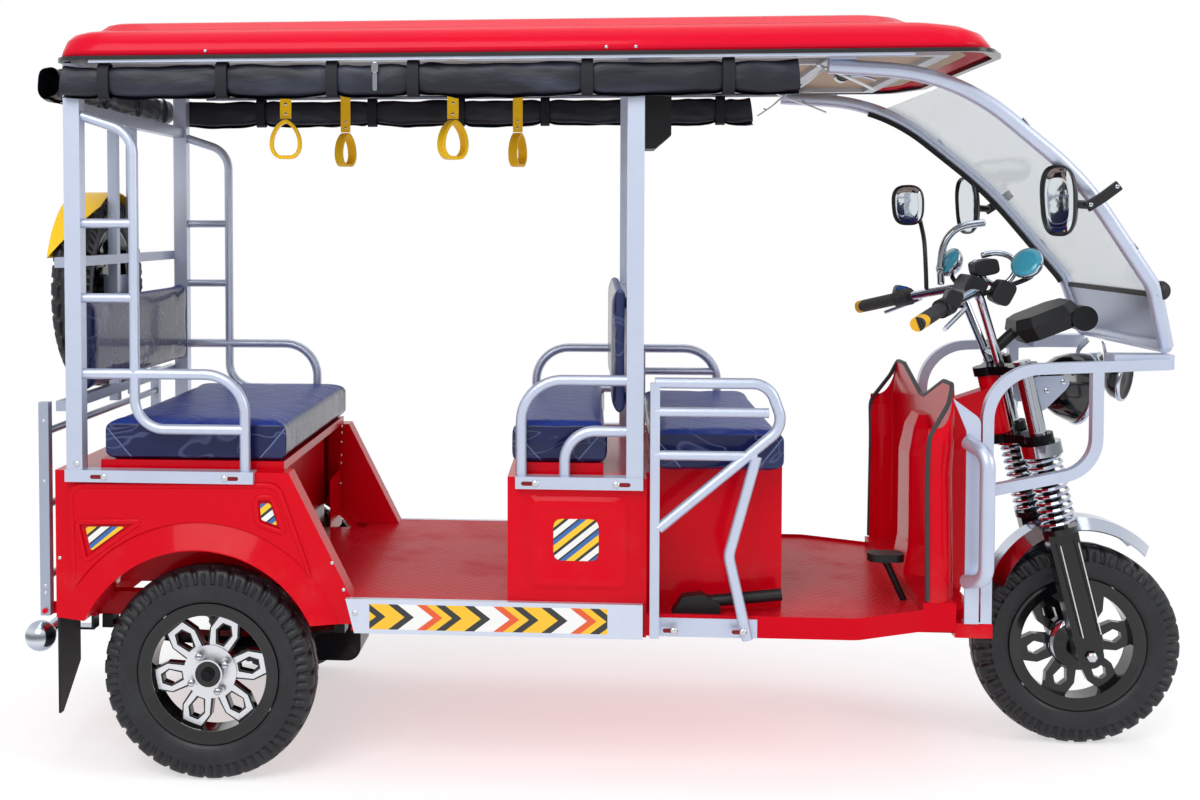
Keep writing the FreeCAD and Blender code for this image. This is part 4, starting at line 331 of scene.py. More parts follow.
def quilted_vinyl(name, colour, node):
    """Navy vinyl wrapped in a loose clear film. The top carries faint wide quilt lines and a painted
    reflection that makes it paler blue. Each end is folded like a parcel: a crease starts at both upper
    corners and goes a little less than one step inwards for each step down. The long faces carry upright
    wrinkles; the creases, wrinkles, loose ripples and upper edge carry pale painted highlights."""
    finish = Finish(name)
    low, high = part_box(node)
    x, y, z = finish.axes()
    facing = finish.facing()
    top = facing[2].ramp(0.45, 0.85)
    end = abs(facing[1]).ramp(0.55, 0.8)
    long_face = abs(facing[0]).ramp(0.55, 0.8)
    quilt = None
    for slant in (1, -1):
        line = abs(((x + y * slant) / QUILT_PITCH) % 1.0 - 0.5)
        quilt = line if quilt is None else quilt.least(line)
    seam = quilt.ramp(0.02, 0.0) * top
    wander = finish.noise(9, 2) * 0.012 - 0.006
    inwards = (x - low.x).least(high.x - x)
    down = high.z - z + 0.001
    crease = abs(inwards - down * PARCEL_FOLD + wander).ramp(0.0035, 0.0005) * end * down.ramp(0.004, 0.010)
    inside = (down * PARCEL_FOLD - inwards).ramp(0.0, 0.004) * end
    upright = finish.noise(1.0, 3, 0.55, finish.stretch(7, 52, 7), 0.8)
    wrinkle = abs(upright - 0.5).ramp(0.035, 0.0) * long_face
    loose = finish.noise(1.0, 2, 0.5, finish.stretch(6, 5, 12), 0.7)
    slack = abs(loose - 0.5).ramp(0.02, 0.0) * (1 - top * 0.5)
    # painted highlight along the upper edge of the side faces
    edge = down.ramp(0.010, 0.004) * (1 - top)
    # painted reflection: the top faces are painted paler blue
    base = finish.blend(top * 0.75, colour, tint(44, 68, 160))
    base = finish.blend(seam * 0.5, base, tint(24, 32, 70))
    base = finish.blend(inside * 0.22, base, tint(70, 82, 130))
    # painted highlights: pale lines on the creases, wrinkles, loose ripples and upper edge
    base = finish.blend((crease * 0.6).most(edge * 0.5).most(wrinkle * 0.16).most(slack * 0.2), base,
                        tint(140, 156, 206))
    normal = finish.bump(quilt.ramp(0.0, 0.12) * top + finish.cells(900) * 0.03, 0.0012, 0.6)
    normal = finish.bump(crease * 1.4 + wrinkle * 0.8 + slack * 0.7 + finish.noise(5, 3) * 2, 0.0018, 0.8,
                         normal)
    return finish.surface(base, 0.3 + top * 0.12, 0.0, normal, 0.4 - top * 0.37, Coat_Roughness=0.08,
                          Specular_IOR_Level=0.12)


def bars(finish, step, first, *rows):
    """Colours that follow each other as step grows; each row holds the step where its colour begins."""
    colour = first
    for start, later in rows:
        colour = finish.blend(step > start, colour, later)
    return colour


PATCH_STEP = 0.009
STRIPE_STEP = 0.022


def slanted_patch(name):
    """Plain slanted bars of four colours. The colour goes by the slanted distance, counted in small steps and
    round again after seven."""
    finish = Finish(name)
    x, _, z = finish.axes()
    step = ((x * 0.9 - z * 1.1) / PATCH_STEP) % 7.0
    black = tint(24, 24, 28)
    base = bars(finish, step, tint(246, 196, 20), (2.0, black), (3.0, tint(236, 236, 232)), (5.0, black),
                (5.6, tint(34, 96, 170)))
    return finish.surface(base, 0.3, 0.0, finish.bump(finish.noise(140, 2), 0.0002), 0.3)


CHROME_ABOVE = 0.782


def fork_enamel(name):
    """Black gloss on the fork's castings; its tubes are chromed above the spring caps and carry painted dark
    reflection streaks.
    """
    finish = Finish(name)
    y, z = finish.axes()[1:]
    tube = z.ramp(CHROME_ABOVE, CHROME_ABOVE + 0.002)
    base = finish.blend(tube, tint(13, 14, 17), tint(206, 211, 220))
    # painted reflection: darker streaks on the chrome tubes that come and go with y
    base = finish.blend(tube * (y * 90).sine().ramp(0.1, 0.5) * 0.5, base, tint(70, 74, 82))
    peel = finish.noise(190, 2)
    return finish.surface(base, 0.2 - tube * 0.1, tube, finish.bump(peel, 0.0002), 0.25,
                          Specular_IOR_Level=0.3)


def leathercloth(name, colour):
    """Black coated cloth with leather grain and soft pulls, which carry pale painted highlights."""
    finish = Finish(name)
    grain = finish.cells(420, feature="DISTANCE_TO_EDGE")
    pull = finish.noise(11, 4, 0.55, finish.stretch(0.35, 1, 1), 0.6)
    # painted highlight: the pulls are painted paler
    base = finish.blend(pull.ramp(0.45, 0.8) * 0.4, colour, tint(78, 86, 108))
    normal = finish.bump(pull * 6 + grain * 0.3, 0.0011)
    return finish.surface(base, 0.46 - pull * 0.14, 0.0, normal, 0.05, Coat_Roughness=0.3,
                          Specular_IOR_Level=0.3)


def machined_rim(name, node, axis, side):
    """Gloss black cast wheel. Bright metal shows on the raised faces, where a point stands further out along
    the axle than the backing and lies between the hub nut and the window's edge."""
    finish = Finish(name)
    centre = middle(node)
    place = finish.axes()
    facing = finish.facing()[axis] * side
    out = (place[axis] - centre[axis]) * side
    across = [place[k] - centre[k] for k in range(3) if k != axis]
    far = (across[0] ** 2 + across[1] ** 2) ** 0.5
    face = facing.ramp(0.8, 0.95) * out.ramp(0.0125, 0.0135)
    bright = face * far.ramp(0.030, 0.031) * far.ramp(0.1375, 0.1365)
    rings = (far * 2600).sine()
    worn = finish.noise(60, 4, 0.7).ramp(0.5, 0.8)
    base = finish.blend(bright, tint(9, 10, 13), tint(214, 216, 220))
    normal = finish.bump(rings * bright * 0.25 + finish.noise(160, 2) * 0.4, 0.00025)
    return finish.surface(base, 0.14 + bright * 0.14 + worn * 0.06, bright, normal, 0.3 - bright * 0.25,
                          Specular_IOR_Level=0.35)


def ceiling_sheet(name):
    """Silver rails under a tan ceiling sheet; the sheet is what lies above the rails' tops."""
    finish = Finish(name)
    sheet = finish.axes()[2].ramp(1.6995, 1.7002)
    cloud = finish.noise(9, 4, 0.6)
    base = finish.blend(sheet, tint(196, 200, 207), tint(184, 150, 122))
    base = finish.blend(cloud * 0.25, base, tint(120, 108, 98))
    normal = finish.bump(finish.noise(160, 3), 0.0003)
    return finish.surface(base, 0.5 + sheet * 0.15, (1 - sheet) * 0.5, normal, 0.1)


def striped_strip(name):
    """Silver sill strip with a band of plain arrow stripes on its middle. The colour goes by the distance
    along and 1.3 times the distance from the middle line, counted in steps and round again after eight."""
    finish = Finish(name)
    x, _, z = finish.axes()
    low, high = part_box("sill_strips")
    run = high.x - low.x
    band_x = (x.ramp(low.x + run * 0.08, low.x + run * 0.083)
              * x.ramp(high.x - run * 0.115, high.x - run * 0.118))
    band_z = z.ramp(low.z + 0.010, low.z + 0.0105) * z.ramp(high.z - 0.010, high.z - 0.0105)
    printed = band_x * band_z
    step = ((x + abs(z - (low.z + high.z) / 2) * 1.3) / STRIPE_STEP) % 8.0
    yellow, black = tint(244, 190, 24), tint(26, 26, 30)
    base = bars(finish, step, yellow, (2.0, black), (3.0, tint(238, 238, 236)), (5.0, tint(226, 84, 26)),
                (6.0, yellow), (7.0, black))
    cloud = finish.noise(7, 4, 0.6)
    steel = finish.blend(cloud * 0.4, tint(206, 214, 230), tint(178, 186, 202))
    base = finish.blend(printed, steel, base)
    normal = finish.bump(cloud * 3 + printed * 0.3, 0.0004)
    return finish.surface(base, 0.3 + cloud * 0.12, 0.5 - printed * 0.5, normal, 0.3)


def lamp_lens(name, colour):
    """Red moulded lens with fine upright ribs."""
    finish = Finish(name)
    y = finish.axes()[1]
    normal = finish.bump((y * 1400).sine(), 0.0004)
    return finish.surface(finish.blend(finish.noise(60), colour, tint(230, 40, 36)), 0.12, 0.0, normal, 0.6)


def grip_rubber(name):
    """Charcoal grip with fine ribs and a yellow ring at its outer end."""
    finish = Finish(name)
    y = finish.axes()[1]
    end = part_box("grips")[1].y
    ring = abs(y).ramp(end - 0.032, end - 0.030) * abs(y).ramp(end - 0.008, end - 0.010)
    base = finish.blend(ring, tint(26, 26, 30), tint(244, 184, 20))
    normal = finish.bump((y * 1500).sine() * (1 - ring), 0.0006)
    return finish.surface(base, 0.55, 0.0, normal)


# the function that makes each finish, and the values that it takes after the name
FINISH_MAKERS = {
    "red paint": (gloss_paint, tint(214, 4, 28)),
    "roof red": (gloss_paint, tint(222, 8, 44), 0.0006),
    "silver enamel": (silver_paint, tint(198, 207, 228)),
    "galvanised": (silver_paint, tint(168, 176, 196), 0.8, 0.4),
    "black enamel": (gloss_paint, tint(22, 23, 26)),
    # chrome's last number is the share of its painted reflection bands
    "chrome": (polished, tint(206, 211, 220), 0.1, 0.3, 0.75),
    "satin steel": (polished, tint(196, 198, 202), 0.26),
    "moulded black": (plastic, tint(22, 23, 26)),
    "rubber": (plastic, tint(17, 17, 20), 0.55, 300),
    "gloss black": (plastic, tint(12, 13, 17), 0.14, 60, 0.0001, 0.8),
    "yellow": (plastic, tint(255, 202, 16), 0.4, 300),
    "tread plate": (tread_plate, tint(204, 4, 28)),
    "tyre rubber": (tread_rubber,),
    "glass": (clear_glass,),
    **{f"{node} vinyl": (quilted_vinyl, tint(20, 28, 74), node) for node in SEATS},
    "curtain": (leathercloth, tint(22, 25, 34)),
    "right rim": (machined_rim, "rear_rim_right", 1, -1),
    "left rim": (machined_rim, "rear_rim_left", 1, 1),
    "front rim": (machined_rim, "front_rim", 1, 1),
    "spare rim": (machined_rim, "spare_rim", 0, -1),
    "ceiling": (ceiling_sheet,),
    "stripes": (striped_strip,),
    "roof edge": (plastic, tint(18, 18, 21), 0.3, 200, 0.0001, 0.3),
    "lamp red": (lamp_lens, tint(190, 10, 16)),
    "fork black": (gloss_paint, tint(16, 17, 20)),
    "grip": (grip_rubber,),
    "strap": (plastic, tint(22, 24, 31), 0.6, 500),
    "housing": (plastic, tint(20, 21, 25), 0.32, 260, 0.0001, 0.2),
    "silvered": (polished, tint(214, 220, 224), 0.04, 0.1),
    # dark red for the slots' patches: painted shade in their recesses
    "slot red": (plastic, tint(120, 8, 16), 0.4, 260),
    "switch blue": (plastic, tint(20, 96, 190), 0.35, 260),
    "switch red": (plastic, tint(206, 20, 34), 0.35, 260),
    "blue film": (plastic, tint(58, 160, 186), 0.16, 60, 0.0004, 0.7),
    "edge rubber": (plastic, tint(58, 58, 62), 0.55, 240),
    "tan": (plastic, tint(176, 150, 126), 0.6, 260),
    "white line": (plastic, tint(232, 232, 228), 0.4, 260),
    "lamp glass": (plastic, tint(196, 204, 212), 0.06, 40, 0.0006, 0.8),
    "patch": (slanted_patch,),
    "fork": (fork_enamel,),
}
FINISHES = {}


def finishes():
    """Every finish of the vehicle, made once and kept by name."""
    if not FINISHES:
        FINISHES.update({name: maker(name, *values) for name, (maker, *values) in FINISH_MAKERS.items()})
    return FINISHES


NODE_FINISH = {
    "red paint": ("chassis_frame", "rear_side_panels", "rear_seat_box", "seat_box", "front_cowl"),
    "tread plate": ("passenger_floor", "driver_floor"),
    "roof red": ("roof_shell",),
    "roof edge": ("roof_trim",),
    "silver enamel": ("rear_side_frames", "middle_side_frames", "driver_guard", "driver_armrest",
                      "windshield_frame", "front_guards"),
    "galvanised": ("front_panel", "rear_carrier", "spare_carrier"),
    "black enamel": ("rear_axle",),
    "fork": ("fork_legs",),
    "fork black": ("fork_yokes",),
    "chrome": ("fork_springs", "front_fender", "handlebar", "rear_bumper"),
    "rubber": ("mudflaps",),
    "grip": ("grips",),
    "moulded black": ("driver_controls", "meter_box", "ceiling_box"),
    "yellow": ("hand_loops", "spare_cover"),
    "tyre rubber": ("front_tyre", "rear_tyre_right", "rear_tyre_left", "spare_tyre"),
    "right rim": ("rear_rim_right",),
    "left rim": ("rear_rim_left",),
    "front rim": ("front_rim",),
    "spare rim": ("spare_rim",),
    "ceiling": ("roof_frame",),
    "stripes": ("sill_strips",),
    "glass": ("windshield_glass",),
    "lamp red": ("tail_lamps",),
    "housing": ("frame_mirrors", "bar_mirror"),
    "gloss black": ("headlamp", "horns"),
    **{f"{node} vinyl": (node,) for node in SEATS},
    "curtain": ("curtain_rolls",),
}


SIDES = (("right", -1), ("left", 1))
ALONG = (1, 0, 0)
ACROSS = (0, 1, 0)
UP = (0, 0, 1)
DOUBLES = 1e-6


def unit(vector):
    """A vector, or every row of an array, brought to length one."""
    vector = np.asarray(vector, dtype=float)
    return vector / np.linalg.norm(vector, axis=-1, keepdims=True)


def ease(value, start, end):
    """0 before start, 1 after end and a smooth rise between; start may be the larger."""
    share = np.clip((value - start) / (end - start), 0, 1)
    return share * share * (3 - 2 * share)


def new_piece(name, points, faces, finish):
    """An object in the scene with one finish, from an array of points and a list of faces."""
    mesh = bpy.data.meshes.new(name)
    mesh.from_pydata(np.asarray(points, dtype=float).reshape(-1, 3), [], faces)
    mesh.materials.append(finishes()[finish])
    piece = bpy.data.objects.new(name, mesh)
    bpy.context.scene.collection.objects.link(piece)
    return piece


def settle(piece, body):
    """Lets a piece ride on a body."""
    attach(piece, body)
    return piece


def skin(name, points, faces, finish, body="body", smooth=True):
    """A mesh from an array of points and an array of faces, that rides on a body."""
    piece = new_piece(name, points, np.asarray(faces).tolist(), finish)
    mesh = piece.data
    mesh.validate()
    mesh.update()
    mesh.polygons.foreach_set("use_smooth", np.full(len(mesh.polygons), smooth))
    return settle(piece, body)


def weave(rows, columns, round_rows=False, round_columns=False):
    """The four-sided faces between the points of a grid, and across its seam where it goes round."""
    u = np.arange(rows if round_rows else rows - 1)[:, None]
    v = np.arange(columns if round_columns else columns - 1)[None, :]
    after_u = (u + 1) % rows
    after_v = (v + 1) % columns
    corners = [u * columns + v, after_u * columns + v, after_u * columns + after_v, u * columns + after_v]
    return np.stack([corner.reshape(-1) for corner in np.broadcast_arrays(*corners)], axis=1)


def mend(piece, fill=False, sheet=False):
    """Joins double points, fills holes where asked and, unless the piece is an open sheet, turns every face
    outwards."""
    shell = bmesh.new()
    shell.from_mesh(piece.data)
    bmesh.ops.remove_doubles(shell, verts=shell.verts, dist=DOUBLES)
    if fill:
        bmesh.ops.holes_fill(shell, edges=shell.edges)
    if not sheet:
        bmesh.ops.recalc_face_normals(shell, faces=shell.faces)
    shell.to_mesh(piece.data)
    shell.free()
    return piece


def along(path, outline, up, closed=False):
    """An outline carried along a path: each point is the path's own, plus the outline's first number along
    the side direction (travel crossed with up) and its second along the direction square to both."""
    path = np.asarray(path, dtype=float)
    travel = unit(np.roll(path, -1, 0) - np.roll(path, 1, 0) if closed else np.gradient(path, axis=0))
    side = unit(np.cross(travel, np.asarray(up, dtype=float)))
    rise = np.cross(side, travel)
    outline = np.asarray(outline, dtype=float)
    if outline.ndim == 2:
        outline = outline[None]
    return path[:, None] + side[:, None] * outline[..., :1] + rise[:, None] * outline[..., 1:2]


def circle(radius, sides):
    """Points round a circle: cosine and sine of even turns."""
    angle = np.arange(sides) * TAU / sides
    return np.stack([np.cos(angle) * radius, np.sin(angle) * radius], axis=1)


def oval(half_wide, half_tall, count, power=2.0):
    """A closed outline: cosine and sine, each raised to 2 / power, so that a larger power squares it."""
    ends = circle(1.0, count)
    return np.sign(ends) * np.abs(ends) ** (2 / power) * [half_wide, half_tall]


def stadium(length, width, sides=8):
    """A slot's outline: two half circles whose centres stand apart."""
    angle = np.linspace(-0.5, 0.5, sides) * math.pi
    end = np.stack([np.cos(angle), np.sin(angle)], axis=1) * width / 2
    gap = (length - width) / 2
    return np.vstack([end + [gap, 0], -end - [gap, 0]])


def cubic(p0, p1, p2, p3, t):
    """The Catmull-Rom cubic from p1 to p2, whose slope at each is half the way between its neighbours."""
    return 0.5 * (2 * p1 + (p2 - p0) * t + (2 * p0 - 5 * p1 + 4 * p2 - p3) * t ** 2
                  + (3 * p1 - p0 - 3 * p2 + p3) * t ** 3)


def smooth_path(points, count):
    """Even steps along an open Catmull-Rom line through the points."""
    points = np.asarray(points, dtype=float)
    padded = np.vstack([2 * points[0] - points[1], points, 2 * points[-1] - points[-2]])
    share = np.linspace(0, len(points) - 1 - 1e-9, count)
    place = share.astype(int)
    return cubic(*(padded[place + step] for step in range(4)), (share - place)[:, None])


def closed_path(points, count):
    """Even steps along a closed Catmull-Rom line through the points."""
    points = np.asarray(points, dtype=float)
    share = np.arange(count) * len(points) / count
    place = share.astype(int)
    return cubic(*(points[(place + step) % len(points)] for step in (-1, 0, 1, 2)), (share - place)[:, None])


def evenly(line, count, endpoint=True):
    """Points at even steps of length along a line of short straight runs."""
    run = np.concatenate([[0], np.cumsum(np.linalg.norm(np.diff(line, axis=0), axis=1))])
    even = np.linspace(0, run[-1], count, endpoint=endpoint)
    return np.stack([np.interp(even, run, line[:, axis]) for axis in range(line.shape[1])], axis=1)


def arcs(points, bends, count):
    """Straight runs through the points with a round bend of a given radius at each inner one, as even steps:
    the arc's centre lies on the line that halves the corner, at bend / sin(half the corner)."""
    points = np.asarray(points, dtype=float)
    line = [points[:1]]
    for before, corner, after, bend in zip(points, points[1:], points[2:], bends):
        back, ahead = unit(before - corner), unit(after - corner)
        half = math.acos(np.clip(back @ ahead, -1, 1)) / 2
        centre = corner + unit(back + ahead) * bend / math.sin(half)
        start = corner + back * bend / math.tan(half) - centre
        end = corner + ahead * bend / math.tan(half) - centre
        share = np.linspace(0, 1, 24)[:, None]
        line.append(centre + unit(start * (1 - share) + end * share) * bend)
    line.append(points[-1:])
    return evenly(np.vstack(line), count)


def closed_rounded(points, bend, count):
    """A closed outline with every corner rounded by a quadratic curve that starts and ends bend away from
    the corner, in even steps."""
    points = np.asarray(points, dtype=float)
    share = np.linspace(0, 1, 10)[:, None]
    line = []
    for index, corner in enumerate(points):
        before, after = points[index - 1], points[(index + 1) % len(points)]
        reach = min(bend, np.linalg.norm(before - corner) / 2, np.linalg.norm(after - corner) / 2)
        start = corner + unit(before - corner) * reach
        end = corner + unit(after - corner) * reach
        line.append(start * (1 - share) ** 2 + corner * 2 * share * (1 - share) + end * share ** 2)
    return evenly(np.vstack(line + [line[0][:1]]), count, endpoint=False)


def frame_of(direction):
    """Three unit vectors, the last along a direction."""
    direction = unit(direction)
    helper = np.array([0, 0, 1.0]) if abs(direction[2]) < 0.9 else np.array([1.0, 0, 0])
    first = unit(np.cross(helper, direction))
    return np.stack([first, np.cross(direction, first), direction])


def turned(profile, sides):
    """A profile of (distance from the axis, height) turned round the third axis, as a grid of points."""
    profile = np.asarray(profile, dtype=float)
    ring = circle(1.0, sides)
    return np.stack([profile[:, :1] * ring[:, 0], profile[:, :1] * ring[:, 1],
                     np.repeat(profile[:, 1:], sides, 1)], axis=2)


def spun(name, profile, sides, facing, place, finish, body="body", open_face=False):
    """A turned piece whose axis points along facing, from a place on."""
    points = turned(profile, sides).reshape(-1, 3) @ frame_of(facing) + place
    piece = skin(name, points, weave(len(profile), sides, False, True), finish, body)
    return piece if open_face else mend(piece)


WIRE_END_REACH = np.array([[0.35], [0.25]])
WIRE_END_SIZE = [0.0, 0.75]


def wire(name, points, radius, finish, body="body", sides=12, count=None, up=UP):
    """A round bar along a smooth line, its ends drawn in to a dome."""
    path = smooth_path(points, count or max(8, len(points) * 6))
    grow = np.concatenate([WIRE_END_SIZE, np.ones(len(path)), WIRE_END_SIZE[::-1]])
    first = path[0] - unit(path[1] - path[0]) * radius * WIRE_END_REACH
    last = path[-1] + unit(path[-1] - path[-2]) * radius * WIRE_END_REACH[::-1]
    path = np.vstack([first, path, last])
    points = along(path, circle(radius, sides)[None] * grow[:, None, None], up)
    return mend(skin(name, points, weave(len(path), sides, False, True), finish, body))


HEAD = [(0.0, 0.62), (0.45, 0.56), (0.82, 0.36), (1.0, 0.08), (1.0, -0.25)]


def studs(name, places, direction, radius, height, finish, body="body", sides=10):
    """Copies of one small domed head, set at each place with its axis along the direction."""
    head = turned(np.asarray(HEAD) * [radius, height], sides).reshape(-1, 3) @ frame_of(direction)
    places = np.asarray(places, dtype=float).reshape(-1, 3)
    points = places[:, None] + head[None]
    faces = weave(len(HEAD), sides, False, True)[None] + (np.arange(len(places)) * len(head))[:, None, None]
    return mend(skin(name, points, faces.reshape(-1, 4), finish, body))


def slabs(name, outline, places, across, up, thick, finish, body="body", bevel=0.0):
    """One outline given a thickness and set at each place: across and up span it, and it grows both ways."""
    across, up = unit(across), unit(up)
    normal = np.cross(across, up)
    outline = np.asarray(outline, dtype=float)
    flat = outline[:, :1] * across + outline[:, 1:2] * up
    count = len(outline)
    one = np.vstack([flat - normal * thick / 2, flat + normal * thick / 2])
    places = np.asarray(places, dtype=float).reshape(-1, 3)
    ring = np.arange(count)
    sides = np.stack([ring, (ring + 1) % count, (ring + 1) % count + count, ring + count], axis=1)
    faces = []
    for first in np.arange(len(places)) * 2 * count:
        faces += (sides + first).tolist() + [(ring[::-1] + first).tolist(), (ring + count + first).tolist()]
    piece = mend(new_piece(name, places[:, None] + one[None], faces, finish))
    if bevel:
        with_modifier(piece, "BEVEL", width=bevel, segments=2, limit_method="ANGLE")
    return settle(piece, body)


def band(name, path, width, thick, finish, up=UP, closed=False, lean=0.0):
    """A flat strap along a path, its width along the side direction turned by lean."""
    box = np.array([(-width, -thick), (width, -thick), (width, thick), (-width, thick)]) / 2
    cos, sin = math.cos(lean), math.sin(lean)
    points = along(path, box @ np.array([(cos, sin), (-sin, cos)]), up, closed)
    rows = len(points)
    faces = weave(rows, 4, closed, True).tolist()
    if not closed:
        faces += [[3, 2, 1, 0], [rows * 4 - 4, rows * 4 - 3, rows * 4 - 2, rows * 4 - 1]]
    return settle(mend(new_piece(name, points, faces, finish)), "body")


def bake(piece):
    """Applies every modifier of a piece to its mesh."""
    seen = piece.evaluated_get(bpy.context.evaluated_depsgraph_get())
    mesh = bpy.data.meshes.new_from_object(seen)
    piece.modifiers.clear()
    old, piece.data = piece.data, mesh
    mesh.name = piece.name
    bpy.data.meshes.remove(old)
    return piece


def with_modifier(piece, kind, **settings):
    """Adds a modifier with its settings and applies it."""
    change = piece.modifiers.new(kind.lower(), kind)
    for name, value in settings.items():
        setattr(change, name, value)
    return bake(piece)


def points_of(piece):
    """A piece's points as an array."""
    points = np.empty(len(piece.data.vertices) * 3)
    piece.data.vertices.foreach_get("co", points)
    return points.reshape(-1, 3)


def dress(piece, node):
    """Lets a piece stand for a CAD node, whose own mesh is hidden."""
    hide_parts(node)
    return piece


class RickshawSizes(bpy.types.PropertyGroup):
    """Sizes that a user would change."""
    cushion_swell: bpy.props.FloatProperty(
        name="Cushion swell", description="How far a seat's faces may push out when it is stuffed",
        default=0.009, min=0.0, max=0.03, unit="LENGTH")
    cushion_cell: bpy.props.FloatProperty(
        name="Cushion cell", description="Size of the mesh cells of a stuffed seat",
        default=0.0085, min=0.004, max=0.02, unit="LENGTH")
    curtain_turns: bpy.props.FloatProperty(
        name="Curtain turns", description="Turns of cloth in a rolled curtain",
        default=5.0, min=1.0, max=8.0)
    tread_blocks: bpy.props.IntProperty(
        name="Tread blocks", description="Shoulder blocks round one side of a tyre",
        default=34, min=12, max=60)


class RickshawColours(bpy.types.PropertyGroup):
    """Colours that a user would change."""
    floor: bpy.props.FloatVectorProperty(
        name="Floor", description="Colour of the studio floor",
        default=(0.62, 0.62, 0.62), subtype="COLOR", size=3, min=0.0, max=1.0)


class RICKSHAW_OT_finish_nodes(bpy.types.Operator):
    """Give every CAD piece its finish"""
    bl_idname = "rickshaw.finish_nodes"
    bl_label = "Finish the solid pieces"

    def execute(self, context):
        for finish, nodes in NODE_FINISH.items():
            for node in nodes:
                piece = NODES[node]
                piece.data.materials.clear()
                piece.data.materials.append(finishes()[finish])
        missing = set(NODES) - {node for nodes in NODE_FINISH.values() for node in nodes}
        if missing:
            raise RuntimeError(f"no finish for {sorted(missing)}")
        return {"FINISHED"}


class RICKSHAW_OT_cushions(bpy.types.Operator):
    """Stuff the seats and backrests"""
    bl_idname = "rickshaw.cushions"
    bl_label = "Seats and backrests"

    def execute(self, context):
        sizes = context.scene.rickshaw_sizes
        for node in SEATS:
            stuffed(node, sizes.cushion_cell, sizes.cushion_swell)
        return {"FINISHED"}


STUFFING_STEPS = 20
STUFFING_PRESSURE = 4.0
STUFFING_QUALITY = 4


def stuffed(node, cell, swell):
    """A seat blown up from its CAD solid: drawn in by half the swell, remeshed in even cells, and pushed out
    by pressure in a few cloth steps. No point moves further than the swell."""
    mesh = NODES[node].data.copy()
    piece = bpy.data.objects.new(node + "_cover", mesh)
    bpy.context.scene.collection.objects.link(piece)
    shell = bmesh.new()
    shell.from_mesh(mesh)
    bmesh.ops.remove_doubles(shell, verts=shell.verts, dist=1e-5)
    low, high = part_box(node)
    centre = (low + high) / 2
    half = (high - low) / 2
    shares = Vector([(half[axis] - swell * 0.5) / half[axis] for axis in range(3)])
    for corner in shell.verts:
        corner.co = centre + (corner.co - centre) * shares
    shell.to_mesh(mesh)
    shell.free()
    with_modifier(piece, "REMESH", mode="VOXEL", voxel_size=cell, use_smooth_shade=True)
    start = points_of(piece)
    cloth = piece.modifiers.new("stuffing", "CLOTH").settings
    cloth.use_pressure = True
    cloth.uniform_pressure_force = STUFFING_PRESSURE
    cloth.effector_weights.gravity = 0.0
    cloth.quality = STUFFING_QUALITY
    for step in range(1, STUFFING_STEPS + 1):
        bpy.context.scene.frame_set(step)
        bpy.context.view_layer.update()
    bake(piece)
    bpy.context.scene.frame_set(1)
    moved = points_of(piece) - start
    reach = np.linalg.norm(moved, axis=1)[:, None]
    moved *= np.minimum(1.0, swell / np.maximum(reach, 1e-9))
    piece.data.vertices.foreach_set("co", (start + moved).reshape(-1))
    piece.data.update()
    with_modifier(piece, "SUBSURF", levels=1, render_levels=1)
    piece.data.materials.clear()
    piece.data.materials.append(finishes()[f"{node} vinyl"])
    piece.data.polygons.foreach_set("use_smooth", np.full(len(piece.data.polygons), True))
    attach(piece, "body")
    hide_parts(node)


TYRES = (("front_tyre", "front_wheel"), ("rear_tyre_right", "rear_wheel_right"),
         ("rear_tyre_left", "rear_wheel_left"), ("spare_tyre", "body"))
# share of the radius, share of the half width, from the bead over the shoulder to the middle
TYRE_SECTION = (
    (0.664, 0.60), (0.664, 0.74), (0.680, 0.84), (0.715, 0.93), (0.76, 0.985), (0.80, 1.0), (0.828, 1.0),
    (0.838, 0.999), (0.848, 0.997), (0.858, 0.993), (0.868, 0.988), (0.878, 0.981), (0.888, 0.973),
    (0.898, 0.963), (0.908, 0.952), (0.918, 0.938), (0.928, 0.921), (0.940, 0.895), (0.952, 0.862),
    (0.964, 0.822), (0.975, 0.765), (0.983, 0.69), (0.988, 0.61), (0.992, 0.53), (0.9945, 0.46),
    (0.996, 0.40), (0.997, 0.355), (0.998, 0.31), (0.9987, 0.265), (0.9993, 0.20), (0.9998, 0.10), (1.0, 0.0))
TYRE_COLUMNS = 16
TREAD_DEPTH = 0.0075
NOTCH_DEPTH = 0.0055
BLOCK_SLANT = 0.35
GROOVE_PLACE = 0.30
ZIGZAG = 0.16
DASH_SHARE = 0.62


class RICKSHAW_OT_tyres(bpy.types.Operator):
    """Make the four tyres with their shoulder blocks"""
    bl_idname = "rickshaw.tyres"
    bl_label = "Tyres"

    def execute(self, context):
        for node, body in TYRES:
            dress(tyre(node, body, context.scene.rickshaw_sizes.tread_blocks), node)
        return {"FINISHED"}


